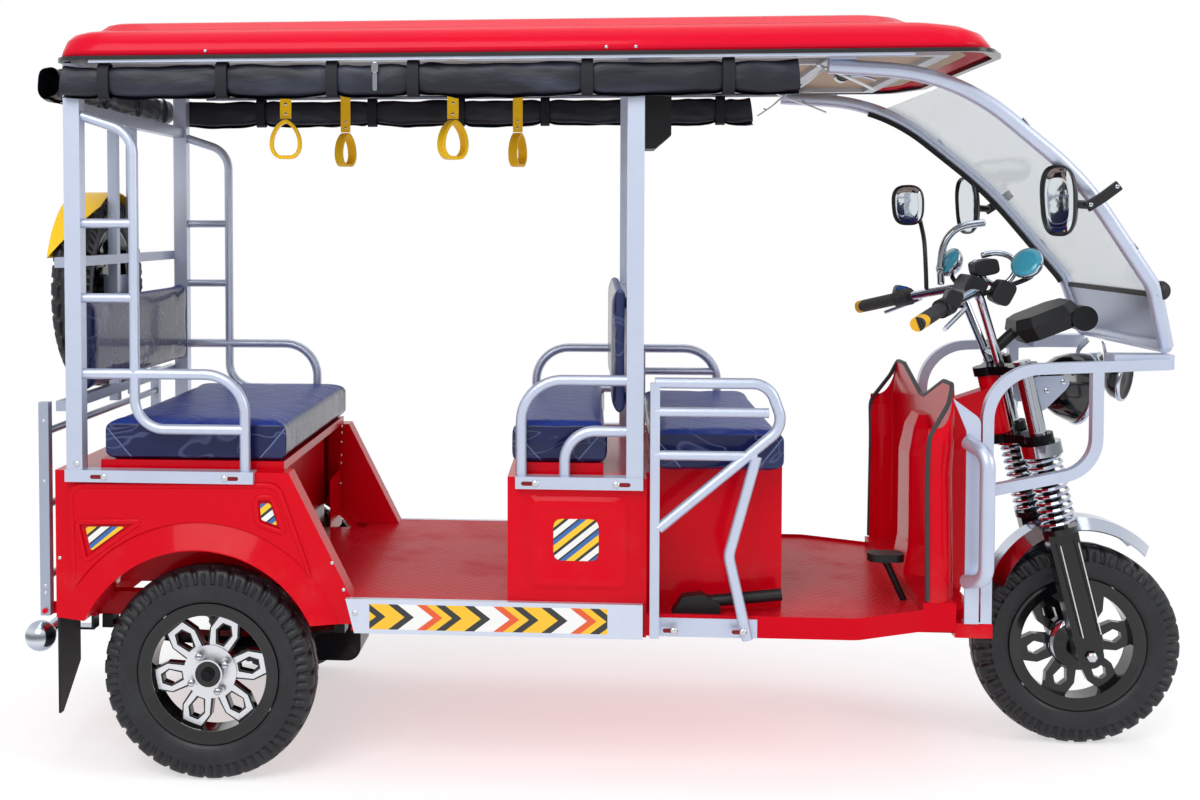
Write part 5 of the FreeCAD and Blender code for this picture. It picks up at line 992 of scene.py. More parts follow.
def tyre(node, body, blocks):
    """A ring round the axle with the tyre's section and its mirror. The tread is cut below it by a height
    that depends on the turn and on the place across: slots between the shoulder blocks, a notch that opens
    each block towards the rim, and a zigzag groove on each side of the middle rib."""
    low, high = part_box(node)
    centre = np.array((low + high) / 2)
    axis = 0 if high.x - low.x < high.y - low.y else 1
    size = [(high.z - low.z) / 2, (high[axis] - low[axis]) / 2]
    side = np.array(TYRE_SECTION)
    shares = np.vstack([side * [1, -1], side[-2::-1]])
    tangent = np.gradient(shares * size, axis=0)
    normal = unit(np.stack([np.abs(tangent[:, 1]), -tangent[:, 0] * np.sign(tangent[:, 1] + 1e-12)], axis=1))
    turn = (np.arange(blocks * TYRE_COLUMNS) * TAU / (blocks * TYRE_COLUMNS))[:, None]
    reach = shares[:, 0][None]
    across = np.abs(shares[:, 1])[None]
    beat = turn * blocks / TAU + np.where(shares[:, 1] > 0, 0.5, 0.0)[None]
    phase = (beat + across * BLOCK_SLANT) % 1.0
    zigzag = np.abs(beat % 1.0 - 0.5) * ZIGZAG
    tread = ease(reach, 0.838, 0.858)
    slot = ease(np.abs(phase - 0.5), 0.17, 0.10) * ease(across, 0.30, 0.40)
    notch = ease(np.abs(phase - 0.02 - (phase > 0.5)), 0.11, 0.06) * ease(reach, 0.952, 0.928)
    groove = ease(np.abs(across - GROOVE_PLACE - zigzag), 0.085, 0.05)
    depth = tread * np.maximum(np.maximum(slot * TREAD_DEPTH, notch * NOTCH_DEPTH), groove * TREAD_DEPTH)
    out = (shares * size)[None] - normal[None] * depth[..., None]
    points = np.empty((*out.shape[:2], 3))
    points[..., axis] = centre[axis] + out[..., 1]
    points[..., 2] = centre[2] + out[..., 0] * np.sin(turn)
    points[..., 1 - axis] = centre[1 - axis] + out[..., 0] * np.cos(turn)
    piece = skin(node + "_rubber", points, weave(*out.shape[:2], True, True), "tyre rubber", body)
    marked = (turn * blocks / TAU / 2) % 1.0 < DASH_SHARE
    dash = ease(groove, 0.5, 0.9) * (shares[:, 1] > 0) * marked * tread * (body != "body")
    for name, values in (("wall", out[..., 0] * (1 - tread)), ("dash", dash)):
        numbers = piece.data.attributes.new(name, "FLOAT", "POINT")
        numbers.data.foreach_set("value", values.reshape(-1))
    return mend(piece)


CLOTH_STEP = 0.0085
ROLL_SQUARENESS = 2.6
ROLL_SAG = 0.004
TIE_REACH = 0.020
# ripples of a roll: waves round it, waves along it in radians a metre, share of the phase, size
RIPPLES = ((2, 9.1, 1.0, 0.35), (3, -23.0, 2.3, 0.3), (5, 41.0, 1.7, 0.2), (2, -67.0, 3.1, 0.25))
SIDE_TIES = {"right": (-1.17, -0.896, -0.643, -0.459, -0.069, 0.242),
             "left": (-1.03, -0.70, -0.442, -0.195, 0.08, 0.307)}
REAR_TIES = (0.10, 0.33, 0.60, 0.84)
ZIP_X = -0.543


def spiral(turns, half_wide, half_tall, inner=0.16, steps=44):
    """A spiral outline: an oval whose size grows evenly with the turn from an inner share to the whole."""
    angle = np.linspace(0, turns * TAU, int(turns * steps))
    share = inner + (1 - inner) * angle / angle[-1]
    ends = np.stack([np.sin(angle), -np.cos(angle)], axis=1)
    return np.sign(ends) * np.abs(ends) ** (2 / ROLL_SQUARENESS) * [half_wide, half_tall] * share[:, None]


def curtain(name, start, end, half_wide, half_tall, turns, ties, phase):
    """A rolled curtain between two points: a spiral carried along the line. The roll is drawn in by a bell
    curve at each tie, sags by a half sine between them, and its outer turns ripple by sums of sines that
    run slantwise round the roll; the ripple fades towards the ties and the inner turns."""
    start = np.asarray(start, dtype=float)
    end = np.asarray(end, dtype=float)
    length = np.linalg.norm(end - start)
    count = int(length / CLOTH_STEP)
    run = np.linspace(0, length, count)
    outline = spiral(turns, half_wide, half_tall)
    pinch = np.zeros(count)
    for tie in ties:
        pinch = np.maximum(pinch, np.exp(-((run - tie) / TIE_REACH) ** 2))
    gaps = np.concatenate([[0], np.asarray(ties), [length]])
    between = np.interp(run, gaps, np.arange(len(gaps)))
    loose = np.sin((between % 1.0) * math.pi)
    angle = np.arctan2(outline[:, 1] / half_tall, outline[:, 0] / half_wide)[None]
    share = np.linspace(0, 1, len(outline))[None] ** 2
    s = run[:, None]
    ripple = sum(np.sin(angle * waves + s * slant + phase * shift) * size
                 for waves, slant, shift, size in RIPPLES)
    fold = np.abs(np.sin(angle * 1.5 + s * 17.0 + np.sin(s * 6.0 + phase) * 2.0)) ** 6
    swell = 0.91 + share * (ripple * 0.085 + fold * 0.07) * (1 - pinch[:, None]) - 0.17 * pinch[:, None]
    path = start + (end - start) * (run / length)[:, None]
    path[:, 2] -= loose * ROLL_SAG
    points = along(path, outline[None] * swell[..., None], UP)
    piece = mend(skin(name, points, weave(count, len(outline)), "curtain"), sheet=True)
    return piece


def curtain_tie(name, centre, across, half_wide, half_tall):
    """A strap round a roll: an oval ring that is across wide and upright."""
    ring = oval(half_wide, half_tall, 40, ROLL_SQUARENESS)
    path = np.asarray(centre) + ring[:, :1] * across + ring[:, 1:] * UP
    band(name, path, 0.026, 0.0022, "strap", up=np.abs(np.cross(across, UP)),
         closed=True, lean=math.pi / 2)


class RICKSHAW_OT_curtains(bpy.types.Operator):
    """Roll the three curtains up under the roof and tie them"""
    bl_idname = "rickshaw.curtains"
    bl_label = "Rolled curtains"

    def execute(self, context):
        turns = context.scene.rickshaw_sizes.curtain_turns
        low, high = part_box("curtain_rolls")
        z = (low.z + high.z) / 2
        tall = (high.z - low.z) / 2
        roll_tall, tie_tall = tall - 0.002, tall - 0.0035
        back, front = low.x + 0.075, high.x
        for (name, side), phase in zip(SIDES, (1.3, 3.4)):
            y = side * (high.y - 0.022)
            piece = curtain(f"{name}_curtain", (back, y, z), (front, y, z), 0.023, roll_tall, turns,
                            [x - back for x in SIDE_TIES[name]], phase)
            if name == "right":
                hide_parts("curtain_rolls")
            for index, x in enumerate(SIDE_TIES[name]):
                curtain_tie(f"{name}_curtain_tie_{index + 1}", (x, y, z - 0.001), ACROSS, 0.0222, tie_tall)
        reach = high.y - 0.046
        x = low.x + 0.034
        curtain("rear_curtain", (x, -reach, z), (x, reach, z), 0.031, roll_tall, turns, REAR_TIES, 4.4)
        for index, tie in enumerate(REAR_TIES):
            curtain_tie(f"rear_curtain_tie_{index + 1}", (x, tie - reach, z - 0.001), ALONG, 0.030, tie_tall)
        face = -high.y - 0.0005
        slabs("zip_slider", oval(0.008, 0.012, 20, 3), [(ZIP_X, face - 0.002, 1.655)], ALONG, UP, 0.006,
              "chrome", bevel=0.001)
        slabs("zip_pull", oval(0.0055, 0.022, 20, 4), [(ZIP_X, face - 0.003, 1.625)], ALONG, UP, 0.0025,
              "chrome", bevel=0.0008)
        return {"FINISHED"}


LOOP_SIDE = ((0.016, -0.010), (0.028, -0.028), (0.0335, -0.050), (0.031, -0.070), (0.019, -0.084))
LOOP_FOOT = (0.0, -0.086)
LOOP_TALL = 0.088
# x, side, turn about the upright, height of the foot
HAND_LOOPS = ((-0.7914, -1, 0.10, 1.463), (-0.388, -1, 0.72, 1.460), (-0.7478, 1, 1.15, 1.468),
              (-0.2644, 1, 1.20, 1.466))


class RICKSHAW_OT_hand_loops(bpy.types.Operator):
    """Hang the four yellow hand loops"""
    bl_idname = "rickshaw.hand_loops"
    bl_label = "Hand loops"

    def execute(self, context):
        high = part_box("hand_loops")[1]
        outline = [(0.0, 0.0), *LOOP_SIDE, LOOP_FOOT, *((-x, z) for x, z in LOOP_SIDE[::-1])]
        flat = closed_path(outline, 48)
        for number, (x, side, turn, foot) in enumerate(HAND_LOOPS, 1):
            y = side * (high.y - 0.013)
            top = foot + LOOP_TALL
            strap = smooth_path([(x, y, z) for z in (high.z - 0.003, 1.62, 1.60, top + 0.006)], 12)
            band(f"hand_strap_{number}", strap, 0.027, 0.0028, "yellow", up=ACROSS)
            way = (math.cos(turn), math.sin(turn), 0.0)
            ring = (x, y, top) + flat[:, :1] * way + flat[:, 1:] * UP
            loop = band(f"hand_ring_{number}", ring, 0.025, 0.0085, "yellow",
                        up=(way[1], -way[0], 0.0), closed=True, lean=math.pi / 2)
            with_modifier(loop, "BEVEL", width=0.0012, segments=2, limit_method="ANGLE")
            if number == 1:
                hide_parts("hand_loops")
            studs(f"hand_rivet_{number}", [(x, y - 0.0016, z) for z in (1.592, top + 0.018)], (0, -1, 0),
                  0.0035, 0.002, "chrome")
        return {"FINISHED"}


# share of the outline, share of the depth behind the rim
MIRROR_BACK = ((0.0, 1.0), (0.25, 1.0), (0.45, 0.93), (0.72, 0.70), (0.90, 0.42), (0.985, 0.15), (1.0, 0.0))
# share of the outline, height over the rim
MIRROR_RIM = ((0.99, 0.004), (0.955, 0.005), (0.935, 0.003), (0.93, 0.0))
MIRROR_GLASS = ((0.945, 0.0), (0.93, 0.0012), (0.6, 0.0022), (0.3, 0.0027), (0.0, 0.0028))
MIRROR_SIDES = 48
BAR_MIRROR_STEM = ((0.795, 0.212, 1.345), (0.806, 0.212, 1.335), (0.812, 0.205, 1.310), (0.818, 0.185, 1.26),
                   (0.820, 0.172, 1.19), (0.822, 0.170, 1.135))


def mirror_head(name, centre, facing, half_wide, half_tall, depth, body):
    """A mirror: rings of one squared oval, wider at its top, that grow from the socket to the rim and turn in
    over the glass."""
    facing = unit(facing)
    across = unit(np.cross(UP, facing))
    up = np.cross(facing, across)
    rim = oval(1.0, 1.0, MIRROR_SIDES, 2.9)
    outline = rim * (1 + rim[:, 1:2] * 0.06)
    back = [(share, -depth * behind) for share, behind in MIRROR_BACK]
    for end, rows, finish, slot in (("", [*back, *MIRROR_RIM], "housing", "black_plastic"),
                                    ("_glass", MIRROR_GLASS, "silvered", "chrome")):
        points = np.array([np.asarray(centre) + (outline * share)[:, :1] * half_wide * across
                           + (outline * share)[:, 1:] * half_tall * up + facing * out for share, out in rows])
        piece = skin(name + end, points, weave(len(rows), MIRROR_SIDES, False, True), finish, body)
        if not end:
            mend(piece)


class RICKSHAW_OT_mirrors(bpy.types.Operator):
    """Mirrors on the windshield's tubes and on the handlebar"""
    bl_idname = "rickshaw.mirrors"
    bl_label = "Mirrors"

    def execute(self, context):
        for (name, side), x, turn in zip(SIDES, (0.978, 0.982), (-0.50, -0.30)):
            y = side * 0.415
            facing = (-math.cos(turn), math.sin(turn), -0.06)
            mirror_head(f"{name}_mirror", (x, y, 1.352), facing, 0.050, 0.080, 0.030, "body")
            socket = np.array([x + 0.022, y, 1.350])
            far = np.array([x + 0.062, y + side * 0.004, 1.347])
            wire(f"{name}_mirror_stem", [socket, (socket + far) / 2, far], 0.0095, "housing")
            start = far + [-0.006, side * 0.012, -0.006]
            path = start + np.array([(0, 0, 0), (0.034, 0, 0.022), (0.070, 0, 0.050)])
            arm = band(f"{name}_mirror_arm", path, 0.024, 0.010, "housing", up=ACROSS)
            with_modifier(arm, "BEVEL", width=0.003, segments=3, limit_method="ANGLE")
            screws = [path[0] + [0.008, side * 0.005, 0.006], path[2] + [-0.006, side * 0.005, -0.004]]
            studs(f"{name}_mirror_screws", screws, (0, side, 0), 0.005, 0.003, "chrome")
        mirror_head("bar_mirror_head", (0.778, 0.200, 1.352), (-0.66, -0.74, -0.08), 0.046, 0.054, 0.028,
                    "steering")
        wire("bar_mirror_stem", BAR_MIRROR_STEM, 0.0058, "housing", "steering")
        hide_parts("frame_mirrors")
        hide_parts("bar_mirror")
        return {"FINISHED"}


# the middle line of the windshield's left tube, and the radius of each of its bends
SCREEN = ((0.47075, 0.420, 1.659), (0.75075, 0.414, 1.640), (1.03575, 0.392, 1.405), (1.22275, 0.318, 1.160),
          (1.26175, 0.290, 1.022))
SCREEN_BENDS = (0.480, 0.700, 0.130)
SCREEN_TUBE = 0.017
# the seal's distance inwards from the tube's middle line, and outwards from the glass
SEAL_PLACES = {"right": (SCREEN_TUBE + 0.0045, 0.0), "left": (0.013, 0.0185)}
SEAL_SECTION = ((-0.006, -0.0055), (0.006, -0.0055), (0.0045, 0.0055), (-0.0045, 0.0055))
CLAMP_HEIGHTS = (1.245, 1.520)
CLAMP_SHIFTS = ((0.011, 0, 0.013), (0.012, 0, 0.013))
STRAP_Y = 0.355
# x and z of the strap that holds the tube to the roof, and of its bolts
ROOF_STRAP = ((0.400, 1.606), (0.438, 1.632), (0.480, 1.664), (0.545, 1.671))
STRAP_BOLTS = ((0.419, 1.624), (0.492, 1.672), (0.525, 1.645))
# x, distance outwards and z of the strap that crosses it
CROSS_STRAP = ((0.452, 0.02, 1.668), (0.500, 0.012, 1.648), (0.545, 0.0, 1.630), (0.585, -0.01, 1.612))
MOTOR = ((0.0, 0.0), (0.75, 0.0), (0.95, 0.08), (1.0, 0.25), (1.0, 0.85), (0.92, 1.0), (0.45, 1.04),
         (0.42, 1.35), (0.0, 1.36))
MOTOR_SIZE = (0.019, 0.046)
WIPER_SHAFT = ((0.535, -0.29, 1.650), (0.57, -0.29, 1.648), (0.60, -0.285, 1.640))
KNOB = ((0, 0), (0.8, 0.0), (1.0, 0.12), (1.0, 0.75), (0.85, 1.0), (0, 1.05))
KNOB_SIZE = (0.023, 0.028)


def screen_edge(side, inset, out=0.0):
    """The windshield tube's middle line, moved in by inset and out square to the glass by out."""
    line = arcs([(x, side * y, z) for x, y, z in SCREEN], SCREEN_BENDS, 140)
    front = unit(np.cross(unit(np.gradient(line, axis=0)), (0, -1.0, 0)))
    return line - [0, side * inset, 0] + front * out


class RICKSHAW_OT_windshield(bpy.types.Operator):
    """Rubber seal, clamps, brackets and the wiper motor of the windshield"""
    bl_idname = "rickshaw.windshield"
    bl_label = "Windshield fittings"

    def execute(self, context):
        low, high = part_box("windshield_glass")
        for name, side in SIDES:
            seal = screen_edge(side, *SEAL_PLACES[name])
            seal = seal[(seal[:, 2] > low.z + 0.004) & (seal[:, 2] < high.z - 0.006)]
            mend(skin(f"{name}_seal", along(seal, SEAL_SECTION, ACROSS), weave(len(seal), 4, False, True),
                      "rubber", smooth=False), fill=True)
            edge = screen_edge(side, 0.0)
            places = [edge[np.argmin(np.abs(edge[:, 2] - height))] + shift
                      for height, shift in zip(CLAMP_HEIGHTS, CLAMP_SHIFTS)]
            slabs(f"{name}_clamps", oval(0.011, 0.011, 24, 6), places, ACROSS, (-0.62, 0, 0.78), 0.004,
                  "satin steel", bevel=0.001)
        foot = points_of(NODES["windshield_glass"])
        foot = foot[foot[:, 2] < low.z + 0.004]
        x, y = foot[:, 0].mean(), np.abs(foot[:, 1]).max() - 0.004
        bar = smooth_path([(x, place, low.z + 0.003) for place in (-y, 0, y)], 9)
        seal = band("foot_seal", bar, 0.013, 0.013, "rubber")
        with_modifier(seal, "BEVEL", width=0.003, segments=2, limit_method="ANGLE")
        for name, side in SIDES:
            y = side * STRAP_Y
            strap = smooth_path([(x, y, z) for x, z in ROOF_STRAP], 16)
            band(f"{name}_roof_strap", strap, 0.024, 0.004, "satin steel", up=ACROSS,
                 lean=math.pi / 2)
            cross = smooth_path([(x, y + side * out, z) for x, out, z in CROSS_STRAP], 16)
            band(f"{name}_screen_strap", cross, 0.020, 0.003, "satin steel", up=ACROSS,
                 lean=math.pi / 2)
            studs(f"{name}_strap_bolts", [(x, y, z) for x, z in STRAP_BOLTS], (-0.4, 0, -0.9), 0.006, 0.004,
                  "chrome", sides=6)
        spun("wiper_motor", np.asarray(MOTOR) * MOTOR_SIZE, 24, ACROSS, (0.520, -0.33, 1.652), "gloss black")
        wire("wiper_shaft", WIPER_SHAFT, 0.004, "chrome")
        spun("screen_knob", np.asarray(KNOB) * KNOB_SIZE, 24, (0.35, -1.0, 0.0), (1.232, -0.300, 1.152),
             "moulded black")
        return {"FINISHED"}


ROOF_COLUMNS = 260
ROOF_BOW = 0.060
ROOF_WALL = 0.005
FRONT_SLOPE = 1.6
# set-back of the front, set-back of the sides and rear, and height of each level from the brim to the crown
ROOF_LEVELS = ((0.0, 0.0, 0.0), (0.004, 0.004, 0.016), (0.014, 0.012, 0.038), (0.034, 0.026, 0.053),
               (0.062, 0.046, 0.0615), (0.088, 0.064, 0.065), (0.100, 0.074, 0.068), (0.116, 0.088, 0.081),
               (0.136, 0.104, 0.087), (0.190, 0.150, 0.0903), (0.320, 0.300, 0.0915), (0.40, 0.40, 0.0915))
LINER = ((0.44, -0.46), (0.74, -0.46), (0.79, -0.36), (0.79, 0.36), (0.74, 0.46), (0.44, 0.46))
LINER_Z = 1.6885
ROOF_SCREWS = (-0.9293, -0.0272, 0.0377)


class RICKSHAW_OT_roof(bpy.types.Operator):
    """The roof's rounded skin, its front liner, its silver edge and its screws"""
    bl_idname = "rickshaw.roof"
    bl_label = "Roof"

    def execute(self, context):
        low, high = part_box("roof_shell")

        def ring(level, inwards, corner, drop):
            front, inset, rise = level
            return roof_ring(low.x + inset + inwards, high.x - front * FRONT_SLOPE - inwards,
                             high.y - inset - inwards, max(corner - inset * 0.3, 0.01),
                             low.z + rise - drop * (rise > 0))

        outer = [ring(level, 0.0, 0.075, 0.0) for level in ROOF_LEVELS]
        inner = [ring(level, ROOF_WALL, 0.07, 0.004) for level in ROOF_LEVELS[::-1]]
        faces = weave(len(outer) + len(inner), ROOF_COLUMNS, True, True)
        crown = slice((len(outer) - 1) * ROOF_COLUMNS, len(outer) * ROOF_COLUMNS)
        shell = skin("roof_skin", outer + inner, np.delete(faces, crown, axis=0), "roof red")
        dress(mend(shell, fill=True), "roof_shell")
        slabs("front_liner", closed_rounded(LINER, 0.03, 60), [(0, 0, LINER_Z)], ALONG, ACROSS, 0.003, "tan")
        trim_low, trim_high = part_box("roof_trim")
        for name, side in SIDES:
            y, z = side * (trim_high.y - 0.0125), trim_low.z - 0.003
            line = smooth_path([(x, y, z) for x in (trim_low.x + 0.09, 0.0, trim_high.x - 0.22)], 24)
            band(f"{name}_roof_strip", line, 0.014, 0.006, "silver enamel")
        for name, side in SIDES:
            studs(f"{name}_roof_screws", [(x, side * (high.y - 0.0012), low.z + 0.009) for x in ROOF_SCREWS],
                  (0, side, 0.1), 0.0042, 0.003, "chrome")
        return {"FINISHED"}


def roof_ring(back, front, half, corner, height):
    """One level of the roof: a rectangle whose front comes forward in its middle part, with round corners."""
    corners = closed_rounded([(back, -half), (front - ROOF_BOW, -half), (front, -half * 0.72),
                              (front, half * 0.72), (front - ROOF_BOW, half), (back, half)], corner,
                             ROOF_COLUMNS)
    return np.column_stack([corners, np.full(len(corners), height)])


# x and z of each slot, and the end of the slot that its bolt sits in
BRACKET_SLOTS = ((-1.2085, 0.7155, 1), (-0.8845, 0.7155, -1), (-0.2030, 0.7145, 1), (0.0180, 0.7145, -1))
GUARD_SLOTS = ((0.1257, 0.387), (0.2798, 0.387))
GUARD_FACE = 0.4815
PANEL_FACE = 0.4555
PANEL_SCREWS = ((-0.655, 0.520), (-0.628, 0.458), (-1.303, 0.520))
TAIL_RIVETS = (0.435, 0.452, 0.700, 0.842)
GUSSET_SCREWS = (0.722, 0.704, 0.678, 0.640, 0.618, 0.560)
KICK_PLATE = ((0.20, 0.4415), (0.378, 0.4415), (0.378, 0.600), (0.20, 0.600))
RIM_BOLT_CIRCLE = 0.046
BOLTED_RIMS = (("rear_rim_right", "rear_wheel_right", 1, -1), ("rear_rim_left", "rear_wheel_left", 1, 1),
               ("spare_rim", "body", 0, -1))


def steel_heads(name, side, places, radius, height, body="body", sides=12):
    """Satin steel bolts or screws on one side of the vehicle, facing outwards."""
    studs(name, places, (0, side, 0), radius, height, "satin steel", body, sides)


class RICKSHAW_OT_fasteners(bpy.types.Operator):
    """Bolts, screws, rivets and the slots that they sit in, drawn as dark red patches of painted shade"""
    bl_idname = "rickshaw.fasteners"
    bl_label = "Bolts and slots"

    def execute(self, context):
        strip_low, strip_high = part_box("sill_strips")
        for name, side in SIDES:
            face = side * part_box("rear_side_frames")[1].y
            slots = [(x, face, z) for x, z, _ in BRACKET_SLOTS]
            # each slot is a flat dark red patch: painted shade in the slot's recess
            slabs(f"{name}_bracket_slots", stadium(0.027, 0.0095), slots, ALONG, UP, 0.0012, "slot red")
            bolts = [(x + 0.019 * end, face, z) for x, z, end in BRACKET_SLOTS]
            steel_heads(f"{name}_bracket_bolts", side, bolts, 0.0082, 0.006)
            steel_heads(f"{name}_post_bolt", side, [(-1.255, side * 0.4695, 0.745)], 0.0075, 0.005)
            face = side * GUARD_FACE
            slots = [(x - 0.004, face, z) for x, z in GUARD_SLOTS]
            slabs(f"{name}_guard_slots", stadium(0.034, 0.0095), slots, ALONG, UP, 0.0012, "slot red")
            bolts = [(x + 0.004, face, z) for x, z in GUARD_SLOTS]
            steel_heads(f"{name}_guard_bolts", side, bolts, 0.0082, 0.006)
            steel_heads(f"{name}_sill_bolts", side, [(strip_low.x + 0.022, side * strip_high.y, 0.408)],
                        0.007, 0.004)
            steel_heads(f"{name}_panel_screws", side, [(x, side * PANEL_FACE, z) for x, z in PANEL_SCREWS],
                        0.0045, 0.003, sides=10)
            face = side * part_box("rear_carrier")[1].y
            steel_heads(f"{name}_tail_rivets", side, [(-1.3398, face, z) for z in TAIL_RIVETS], 0.0045, 0.003,
                        "luggage_rack", 10)
            places = [(-0.7745, side * (0.382 - 0.004 * k), z) for k, z in enumerate(GUSSET_SCREWS)]
            studs(f"{name}_gusset_screws", places, ALONG, 0.005, 0.004, "satin steel")
        for name, side in SIDES:
            slabs(f"{name}_kick_plate", KICK_PLATE, [(-0.7768, 0, 0)], (0, side, 0), UP, 0.002, "red paint")
            studs(f"{name}_hub_nut", [(AXLE_X, side * 0.4578, middle("rear_rim_right").z)], (0, side, 0),
                  0.013, 0.012, "chrome", f"rear_wheel_{name}", 6)
        for node, body, axis, side in BOLTED_RIMS:
            centre = np.array(middle(node))
            centre[axis] += side * hub_face(node, axis, side)
            angle = np.arange(4) * TAU / 4 + 0.5
            points = np.tile(centre, (len(angle), 1))
            points[:, 1 - axis] += np.cos(angle) * RIM_BOLT_CIRCLE
            points[:, 2] += np.sin(angle) * RIM_BOLT_CIRCLE
            direction = side * np.eye(3)[axis]
            studs(f"{node}_bolts", points, direction, 0.0085, 0.007, "chrome", body, 16)
        return {"FINISHED"}


def hub_face(node, axis, side):
    """How far a rim's hub face stands out from the rim's middle, read where the bolts sit."""
    points = points_of(NODES[node]) - np.array(middle(node))
    across = np.hypot(points[:, 1 - axis], points[:, 2])
    ring = points[(across > 0.034) & (across < 0.060)]
    return float((ring[:, axis] * side).max())


# name, place, finish
SWITCHES = (("turn_switch", (0.773, 0.2415, 1.129), "switch blue"),
            ("lamp_switch", (0.770, 0.2415, 1.110), "switch red"))
# name, place, half width, half height, depth, lean forward
BAR_BLOCKS = (("far_switch_pod", (0.775, 0.262, 1.117), 0.020, 0.022, 0.040, 0.20),
              ("near_switch_pod", (0.793, -0.235, 1.128), 0.019, 0.021, 0.044, 0.35),
              ("bar_clamp", (0.893, 0.0, 1.150), 0.026, 0.024, 0.120, 0.5),
              ("key_block", (0.925, 0.0, 1.196), 0.030, 0.020, 0.070, -0.2),
              ("fuse_block", (0.955, -0.055, 1.135), 0.024, 0.030, 0.055, 0.5))
CHROME_HOOK = ((0.843, 0.10, 1.150), (0.842, 0.10, 1.200), (0.850, 0.10, 1.252), (0.873, 0.10, 1.286),
               (0.905, 0.10, 1.301), (0.950, 0.10, 1.308))
CHROME_LOOP = ((0.900, 0.0, 1.212), (0.918, 0.0, 1.178), (0.940, 0.0, 1.157), (0.966, 0.0, 1.152),
               (0.990, 0.0, 1.166), (1.004, 0.0, 1.196), (0.990, 0.0, 1.222), (0.955, 0.0, 1.232),
               (0.920, 0.0, 1.226))
ROUND_LAMPS = (("right_round_lamp", (1.010, -0.075, 1.208), (-0.62, -0.62, 0.48)),
               ("left_round_lamp", (0.868, 0.120, 1.205), (-0.80, -0.30, 0.52)))
ROUND_LAMP_SIZE = (0.041, 1.0)
ROUND_LAMP_BOWL = ((0.0, -0.030), (0.35, -0.029), (0.62, -0.024), (0.86, -0.013), (0.98, -0.003),
                   (1.0, 0.003), (0.965, 0.007), (0.93, 0.006))
ROUND_LAMP_FACE = ((0.94, 0.006), (0.90, 0.0085), (0.6, 0.0115), (0.3, 0.013), (0.0, 0.0135))


class RICKSHAW_OT_cockpit(bpy.types.Operator):
    """Switches, lamps, chrome hook and levers round the handlebar"""
    bl_idname = "rickshaw.cockpit"
    bl_label = "Handlebar fittings"

    def execute(self, context):
        body = "steering"
        for name, place, finish in SWITCHES:
            slabs(name, oval(0.0125, 0.0075, 24, 6), [place], ALONG, UP, 0.006, finish, body,
                  bevel=0.0015)
        for name, place, wide, tall, deep, lean in BAR_BLOCKS:
            slabs(name, oval(wide, tall, 28, 4), [place], (1, 0, -lean), (lean, 0, 1), deep, "moulded black",
                  body, bevel=0.003)
        wire("chrome_hook", CHROME_HOOK, 0.0095, "chrome", body, count=40)
        wire("chrome_loop", CHROME_LOOP, 0.0075, "chrome", body, count=48, up=ACROSS)
        for name, place, facing in ROUND_LAMPS:
            spun(name, np.asarray(ROUND_LAMP_BOWL) * ROUND_LAMP_SIZE, 32, facing, place, "chrome",
                 body)
            spun(name + "_film", np.asarray(ROUND_LAMP_FACE) * ROUND_LAMP_SIZE, 32, facing, place,
                 "blue film", body, open_face=True)
            top = np.asarray(place) - unit(facing) * 0.028
            wire(name + "_stem", [top, top + [-0.010, 0.006, -0.025], (0.905, place[1] * 0.6, 1.128)], 0.006,
                 "moulded black", body)
        return {"FINISHED"}


# one half of the leg shield's free edge, from the floor over its lobe to the middle, and its bends
SHIELD_EDGE = ((0.7147, 0.362, 0.436), (0.7147, 0.3465, 0.722), (0.7147, 0.3615, 0.815),
               (0.7640, 0.3350, 0.890), (0.7785, 0.3100, 0.932), (0.7785, 0.2246, 0.932),
               (0.7785, 0.0260, 0.874))
SHIELD_BENDS = (0.3, 0.05, 0.06, 0.03, 0.02, 0.02)
# x and z of the ridge round the rear panel, and of the corners of its pockets
PANEL_RIDGE = ((-1.266, 0.470), (-1.275, 0.692), (-0.783, 0.699), (-0.704, 0.482))
POCKETS = {"rear": ((-1.261, 0.607), (-1.107, 0.610), (-1.240, 0.514)),
           "front": ((-0.834, 0.670), (-0.794, 0.672), (-0.767, 0.588), (-0.829, 0.609))}
POCKET_FILL = 0.62
RIDGE_FACE = 0.4590
SEAT_PATCH = ((-0.143, 0.536), (-0.143, 0.632), (-0.040, 0.632), (-0.040, 0.536))


def leg_shield_edge():
    """The leg shield's free edge in one line: up the near side, over its lobe, through the notch in the
    middle, and down the far side, with a small arc at each corner."""
    side = np.array(SHIELD_EDGE)
    return arcs(np.vstack([side * [1, -1, 1], side[::-1]]), SHIELD_BENDS + SHIELD_BENDS[::-1], 260)


